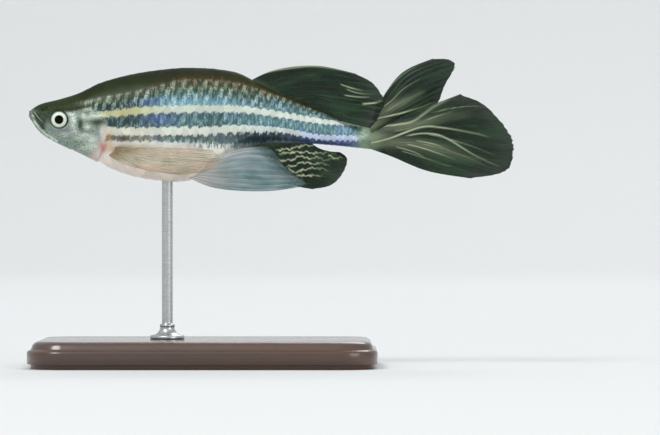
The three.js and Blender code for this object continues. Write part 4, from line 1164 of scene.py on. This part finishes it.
# A guide is four points of x and z in fish millimetres, from the fin's root to its edge.
FINS = {
    "dorsal_fin": {
        "guides": [
            [24.1, 3.3, 27.4, 4.7, 32, 5.1, 37.1, 4.0],
            [25.4, 2.3, 29.4, 3.5, 34, 3.45, 38.5, 2.8],
            [26.8, 1.6, 30.5, 2.3, 34.8, 1.85, 39.5, 1.1],
            [28.2, 1.0, 31.2, 1.5, 34.9, 0.8, 39.1, 0.1],
            [29.6, 0.4, 31.8, 0.22, 34.8, -1.05, 38.2, -1.85],
        ],
        "rays": 9, "skin": "membrane", "sideways": dorsal_curl,
    },
    "anal_fin": {
        "guides": [
            [23.9, -3.5, 25.9, -6, 28.9, -7.9, 32, -8.6],
            [25.5, -2.9, 28, -5.4, 30.8, -7.1, 33.8, -7.9],
            [27.3, -2.8, 29.9, -4.8, 32.2, -5.9, 34.9, -6.6],
            [28.9, -2.8, 31, -4.2, 33.1, -4.9, 35.3, -5.2],
            [30.5, -2.8, 32, -3.9, 33.3, -4.3, 34.6, -4.4],
        ],
        "rays": 14, "skin": "membrane", "sideways": anal_curl,
    },
    "tail_fin_upper": {
        "guides": [
            [37.7, -1.55, 38.7, 0.9, 41.3, 4.4, 45.5, 6.3],
            [37.7, -1.8, 39.5, 0.4, 42.7, 3.5, 47.3, 5.4],
            [37.7, -2.05, 40, -0.3, 43.2, 1.6, 46.1, 3.0],
            [37.7, -2.35, 40.3, -1.2, 42.8, -0.2, 45.4, 0.95],
        ],
        "rays": 9, "skin": "membrane", "sideways": upper_lobe_curl,
    },
    "tail_fin_lower": {
        "guides": [
            [37.7, -2.42, 40.6, -0.9, 43.8, 0.5, 48.6, 2.35],
            [37.7, -3, 41.7, -2.1, 46.3, -0.7, 51.2, 0.2],
            [37.7, -3.25, 42.1, -2.6, 47.6, -2.1, 53.4, -2.6],
            [37.7, -3.5, 42.1, -3.2, 47.3, -3.7, 53.7, -4.7],
            [37.7, -3.75, 41.6, -3.9, 46.6, -5.1, 52.9, -6.5],
            [37.7, -4, 40.2, -4.9, 44.2, -6.5, 49.5, -7.4],
        ],
        "rays": 10, "skin": "membrane", "sideways": lower_lobe_curl,
    },
    "pelvic_fin": {
        "guides": [
            [17.2, -7, 20.7, -8.35, 25.9, -8.7, 31, -8.15],
            [17.4, -6.9, 21.6, -7.55, 26.3, -7.75, 30.7, -7.6],
            [17.6, -6.8, 21.4, -6.6, 25.6, -6.5, 29.4, -6.8],
            [17.8, -6.7, 21, -5.65, 24.6, -5, 28.1, -5.5],
            [18, -6.6, 20.6, -5.2, 23.5, -4.1, 26.9, -3.75],
        ],
        "rays": 8, "skin": "pale", "sideways": pelvic_curl,
    },
    "pectoral_fin": {
        "guides": [
            [9.1, -3.85, 13.1, -3.95, 17.2, -4, 21.3, -4.3],
            [9.1, -4.05, 13.1, -4.7, 17.3, -5.15, 21.5, -5.5],
            [9.05, -4.3, 12.4, -5.4, 16.4, -6.05, 20.4, -6.5],
            [9, -4.5, 11.4, -5.55, 14.4, -6.4, 17.6, -6.95],
            [8.95, -4.7, 10.2, -5.5, 12.1, -6.15, 14.2, -6.6],
        ],
        "rays": 12, "skin": "clear", "sideways": pectoral_curl,
    },
}

# A pale line is its half width in millimetres, its strength, and its photograph pixels from the root.
PALE_LINES = {
    "tail_fin_upper": [
        (0.09, 0.8, [[372, 121], [378, 118], [400, 113], [420, 107], [436, 100]]),
        (0.5, 0.2, [[372, 118], [390, 108], [410, 98], [428, 90]]),
        (0.05, 0.5, [[378, 110], [392, 100], [404, 88], [424, 76]]),
        (0.05, 0.45, [[384, 112], [398, 104], [412, 96], [428, 90]]),
        (0.05, 0.35, [[376, 106], [384, 94], [398, 78], [418, 64]]),
        (0.45, 0.32, [[362, 127], [370, 125], [380, 121], [392, 115]]),
    ],
    "tail_fin_lower": [
        (0.11, 0.85, [[362, 138], [380, 127], [400, 124], [415, 120], [435, 106], [458, 95]]),
        (0.5, 0.2, [[366, 132], [390, 128], [420, 123], [450, 116], [480, 112]]),
        (0.6, 0.17, [[366, 143], [395, 142], [430, 146], [465, 156], [490, 164]]),
        (0.09, 0.8, [[366, 144], [390, 138], [420, 127], [440, 127], [475, 133], [495, 139]]),
        (0.08, 0.7, [[404, 136], [425, 133], [445, 137], [475, 155], [505, 169]]),
        (0.06, 0.6, [[415, 140], [435, 144], [455, 152]]),
        (0.06, 0.6, [[405, 143], [430, 150], [460, 161]]),
        (0.06, 0.45, [[395, 146], [415, 152], [430, 160]]),
        (0.06, 0.45, [[425, 120], [440, 115], [455, 111]]),
        (0.05, 0.4, [[392, 131], [410, 128], [430, 121], [450, 116]]),
        (0.05, 0.35, [[420, 143], [445, 149], [470, 158], [490, 168]]),
        (0.05, 0.35, [[425, 133], [450, 139], [475, 147], [500, 157]]),
        (0.05, 0.3, [[430, 113], [452, 108], [476, 106], [498, 110]]),
        (0.05, 0.3, [[400, 150], [425, 158], [450, 166], [470, 171]]),
        (0.75, 0.36, [[360, 137], [370, 136.5], [382, 135.5], [398, 135]]),
    ],
    "dorsal_fin": [
        (0.07, 0.55, [[250, 79], [262, 73.5], [276, 70], [300, 66.6], [318, 66.4], [340, 70], [364, 76.5]]),
        (0.06, 0.6, [[340, 84], [352, 88], [364, 91]]), (0.06, 0.6, [[344, 95], [358, 97], [372, 97]]),
        (0.08, 0.9, [[362, 104], [374, 103], [384, 100]]), (0.05, 0.45, [[346, 89], [358, 93], [376, 95]]),
    ],
    "pelvic_fin": [
        (0.8, 0.95, [[190, 164], [205, 157], [222, 152], [240, 149], [258, 148]]),
    ],
    "anal_fin": [
        (0.072, 1.0, [[274, 150], [290, 148.5], [305, 145], [318, 146], [330, 149], [341, 150]]),
        (0.072, 1.0, [[277, 154], [295, 152], [305, 152], [318, 153], [330, 152], [339, 156]]),
        (0.072, 1.0, [[277, 160], [290, 160], [297, 157], [303, 156],
                      [309, 159], [316, 157], [326, 160], [336, 158]]),
        (0.072, 1.0, [[285, 166], [292, 166], [300, 163], [306, 162], [312, 164], [320, 163], [332, 165]]),
        (0.072, 1.0, [[287, 167], [293, 172], [300, 171], [306, 169], [318, 168], [326, 170], [332, 171]]),
        (0.072, 1.0, [[296, 174], [303, 176], [310, 175], [316, 176], [324, 174]]),
        (0.08, 0.9, [[328, 155], [336, 158], [344, 157]]),
    ],
}


def fin_place(fin, u, v):
    """Point of a fin's middle sheet: u from root to edge along the guides, v from guide to guide."""
    guides = np.array(fin["guides"]).reshape(-1, 4, 2).transpose(1, 0, 2)
    (front, front_width), (rear, rear_width) = FRONT_ROUNDING, REAR_ROUNDING
    u = u * (1 - front * bump_at(v, front_width) - rear * bump_at(1 - v, rear_width))
    along = np.einsum("...k,kgc->...gc", through(even(4), u), guides)
    side_view = np.einsum("...g,...gc->...c", through(even(guides.shape[1]), v), along)
    x, z = side_view[..., 0], side_view[..., 1]
    pleat = PLEAT * np.clip(u, 0, 1) * np.cos(2 * np.pi * fin["rays"] * v)
    y = fin["sideways"](x, np.clip(u, 0, 1), v) + pleat
    return np.stack([x, y, z], axis=-1)


def edge_reach(fin, v):
    """How far the film runs between rays: full at the rays' tips, drawn in between, and frayed."""
    scallop = 0.5 - 0.5 * np.cos(4 * np.pi * fin["rays"] * v)
    fray = np.sin(v * 41.0 + 1.3) * np.sin(v * 97.0)
    return FILM_REACH - SCALLOP * scallop - FRAY * fray * np.sin(np.pi * v)


def fin_film(fin, root):
    """Closed thin film: the middle sheet moved half its thickness to each side along its normal."""
    columns = fin["rays"] * COLUMNS_PER_RAY + 1
    share, v = np.meshgrid(even(FILM_ROWS), even(columns), indexing="ij")
    u = root + (edge_reach(fin, v) - root) * share
    sheet = fin_place(fin, u, v)
    half = (FILM_ROOT + (FILM_EDGE - FILM_ROOT) * np.clip(u, 0, 1)) / 2
    shift = surface_normal(sheet, closed=False) * half[..., None]
    points = np.concatenate([sheet + shift, (sheet - shift)[:, ::-1]], axis=1).reshape(-1, 3)
    first = np.arange(columns)
    faces = [grid_faces(FILM_ROWS, 2 * columns, closed=True)]
    for row, flip in ((0, False), (FILM_ROWS - 1, True)):
        start = row * 2 * columns
        top, bottom = start + first, start + 2 * columns - 1 - first
        strip = np.stack([top[:-1], top[1:], bottom[1:], bottom[:-1]], -1)
        faces.append(strip if flip else strip[:, ::-1])
    u, v = (np.concatenate([value, value[:, ::-1]], axis=1).ravel() for value in (u, v))
    return points, np.concatenate(faces), u, v


def fin_rays(fin, root):
    """Every ray of a fin as tubes: a stem, two branches and four twigs, each from inside the last."""
    count = fin["rays"]
    middle = (np.arange(count) + 0.5) / count
    lines = []
    for start, stop, offsets in RAY_BRANCHES:
        start = root if start is None else start
        for offset in offsets:
            twig = len(offsets) > 2
            parent = np.sign(offset) if twig else 0.0
            u = np.linspace(start, stop, RAY_POINTS)
            apart = parent + (offset - parent) * eased(u, start + 0.02, min(start + BRANCH_RUN, 1.0))
            v = middle[:, None] + RAY_ROOM / count * apart[None] * (TWIG_SPREAD if twig else BRANCH_SPREAD)
            radius = RAY_STEM + (RAY_TIP - RAY_STEM) * np.clip(u, 0, 1) ** 0.7
            v = np.clip(v, SIDE_MARGIN, 1 - SIDE_MARGIN)
            lines.append(np.broadcast_arrays(u, v, radius))
    u, v, radii = (np.concatenate(values) for values in zip(*lines))
    points, faces = tubes(fin_place(fin, u, v), radii, RAY_SIDES)
    u, v = (np.concatenate([np.repeat(value, RAY_SIDES, axis=1), value[:, :1], value[:, -1:]], axis=1).ravel()
            for value in (u, v))
    return points, faces, u, v


def pale_lines(name, x, z):
    """How pale a fin is at a place: bells round the pale lines that run along its rays."""
    pale = np.zeros_like(x)
    if name == "anal_fin":
        wave = 0.07 * np.sin(5.3 * x + 1.7 * z)
        z = z + wave + 0.09 * np.sin(9.7 * x - 4.0 * z) * np.sin(2.3 * x + 5.0 * z)
    for width, strength, line in PALE_LINES.get(name, ()):
        path = smooth_path(np.stack(at_pixel(*np.array(line, float).T), axis=-1), 24)
        distance, run = near_line(path, x, z)
        fade = eased(run, 0, 0.08) * (1 - 0.75 * eased(run, 0.35, 0.9)) * (1 - eased(run, 0.85, 1.0))
        pale = np.maximum(pale, strength * bump_at(distance, width) * fade)
    if name == "anal_fin":
        pale *= 0.8 + 0.2 * np.sin(11.0 * x + 3.0 * z) * np.sin(4.1 * x - 7.0 * z)
    return pale


def fin_material(name, colours, tint_reach, fade, clear=None, root_alpha=1.0):
    """Tinted film or ray: a cloudy streaked base, tinted near the root and pale on the lines.

    The colours are the base's deep and light ones, the patches', the root's and the lines'. A
    film has a pair of opacities in clear; a ray has none, and joints across it.
    """
    deep, light, patch, root_tint, pale = (paint(*colour) for colour in colours)
    material, tree, shader = new_material(
        name, Coat_Weight=0.06, Coat_Roughness=0.2, Specular_IOR_Level=0.16)
    mapped = node(tree, "UVMap", uv_map="FinMap").outputs[0]
    reach = node(tree, "SeparateXYZ", {0: mapped}).outputs[0]
    streaks = noise(tree, stretched(tree, mapped, (3.0, 90.0, 1.0)), 1.0, 4.0)
    cloud = noise(tree, mapped, 7.0, 4.0)
    patches = noise(tree, stretched(tree, mapped, (2.2, 4.0, 1.0)), 1.0, 3.0)
    colour = mixed(tree, between(tree, plus(times(streaks, 0.5), times(cloud, 0.5)), 0.35, 0.65), deep, light)
    colour = mixed(tree, between(tree, patches, 0.42, 0.68, 0.0, 0.7), colour, patch)
    colour = mixed(tree, between(tree, reach, tint_reach, -0.02, 0.0, 0.8), colour, root_tint)
    line = node(tree, "Attribute", attribute_name="pale").outputs["Fac"]
    line = times(line, between(tree, streaks, 0.3, 0.6, 0.7, 1.0))
    wire(shader, Base_Color=mixed(tree, line, colour, pale),
         Roughness=between(tree, streaks, 0.3, 0.7, 0.35, 0.5))
    if clear:
        see = times(between(tree, cloud, 0.3, 0.7, *clear), between(tree, reach, 0.75, 1.0, 1.0, fade),
                    between(tree, reach, 0.0, 0.35, root_alpha, 1.0))
        wire(shader, Alpha=worked(tree, "MAXIMUM", see, line), Normal=bumped(tree, streaks, 0.3, 0.00003))
        return material
    if fade < 1:
        wire(shader, Alpha=between(tree, reach, 0.68, 1.0, 1.0, fade))
    joints = node(tree, "TexWave", {"Vector": mapped, "Scale": 14.0, "Distortion": 1.0}).outputs["Fac"]
    wire(shader, Normal=bumped(tree, joints, 0.3, 0.00001))
    return material


films = {
    "membrane": fin_material(
        "dark_fin_film",
        [(9, 21, 12), (22, 41, 25), (38, 63, 41), (100, 122, 92), (206, 216, 178)],
        tint_reach=0.16, fade=0.86, clear=(0.9, 0.97)),
    "pale": fin_material(
        "pale_fin_film",
        [(90, 116, 118), (124, 148, 148), (146, 156, 162), (214, 206, 202), (222, 218, 220)],
        tint_reach=0.58, fade=0.1, clear=(0.78, 0.92), root_alpha=0.4),
    "clear": fin_material(
        "clear_fin_film",
        [(150, 142, 112), (192, 184, 158), (208, 166, 146), (120, 106, 70), (226, 224, 206)],
        tint_reach=0.45, fade=0.35, clear=(0.22, 0.36)),
}
ray_looks = {
    "membrane": fin_material(
        "dark_fin_rays",
        [(16, 31, 18), (33, 53, 35), (48, 74, 50), (96, 118, 92), (220, 230, 190)],
        tint_reach=0.16, fade=1.0),
    "pale": fin_material(
        "pale_fin_rays",
        [(102, 128, 128), (138, 162, 160), (160, 172, 176), (214, 210, 206), (222, 220, 220)],
        tint_reach=0.58, fade=0.12),
    "clear": fin_material(
        "clear_fin_rays",
        [(126, 120, 88), (210, 205, 184), (206, 172, 150), (120, 106, 70), (226, 224, 206)],
        tint_reach=0.45, fade=0.5),
}
for fin_name, fin in FINS.items():
    paired = fin_name in ("pelvic_fin", "pectoral_fin")
    root = TAIL_ROOT if fin_name.startswith("tail") else 0.0
    for side, ending in ((-1, "_left"), (1, "_right")) if paired else ((1, ""),):
        for kind, maker, looks in (("film", fin_film, films), ("rays", fin_rays, ray_looks)):
            points, faces, u, v = maker(fin, root)
            pale = pale_lines(fin_name, points[:, 0], points[:, 2])
            points = points * [1, side, 1]
            if kind == "film":
                faces = (faces[:, ::-1] if side > 0 else faces).tolist()
            elif side < 0:
                faces = [face[::-1] for face in faces]
            piece = new_piece(f"{fin_name}_{kind}{ending}", placed(points), faces, looks[fin["skin"]],
                              {"FinMap": np.stack([u, v], -1)}, {"pale": pale})
            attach(piece, "root")
            if kind == "film":
                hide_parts(fin_name + ending)
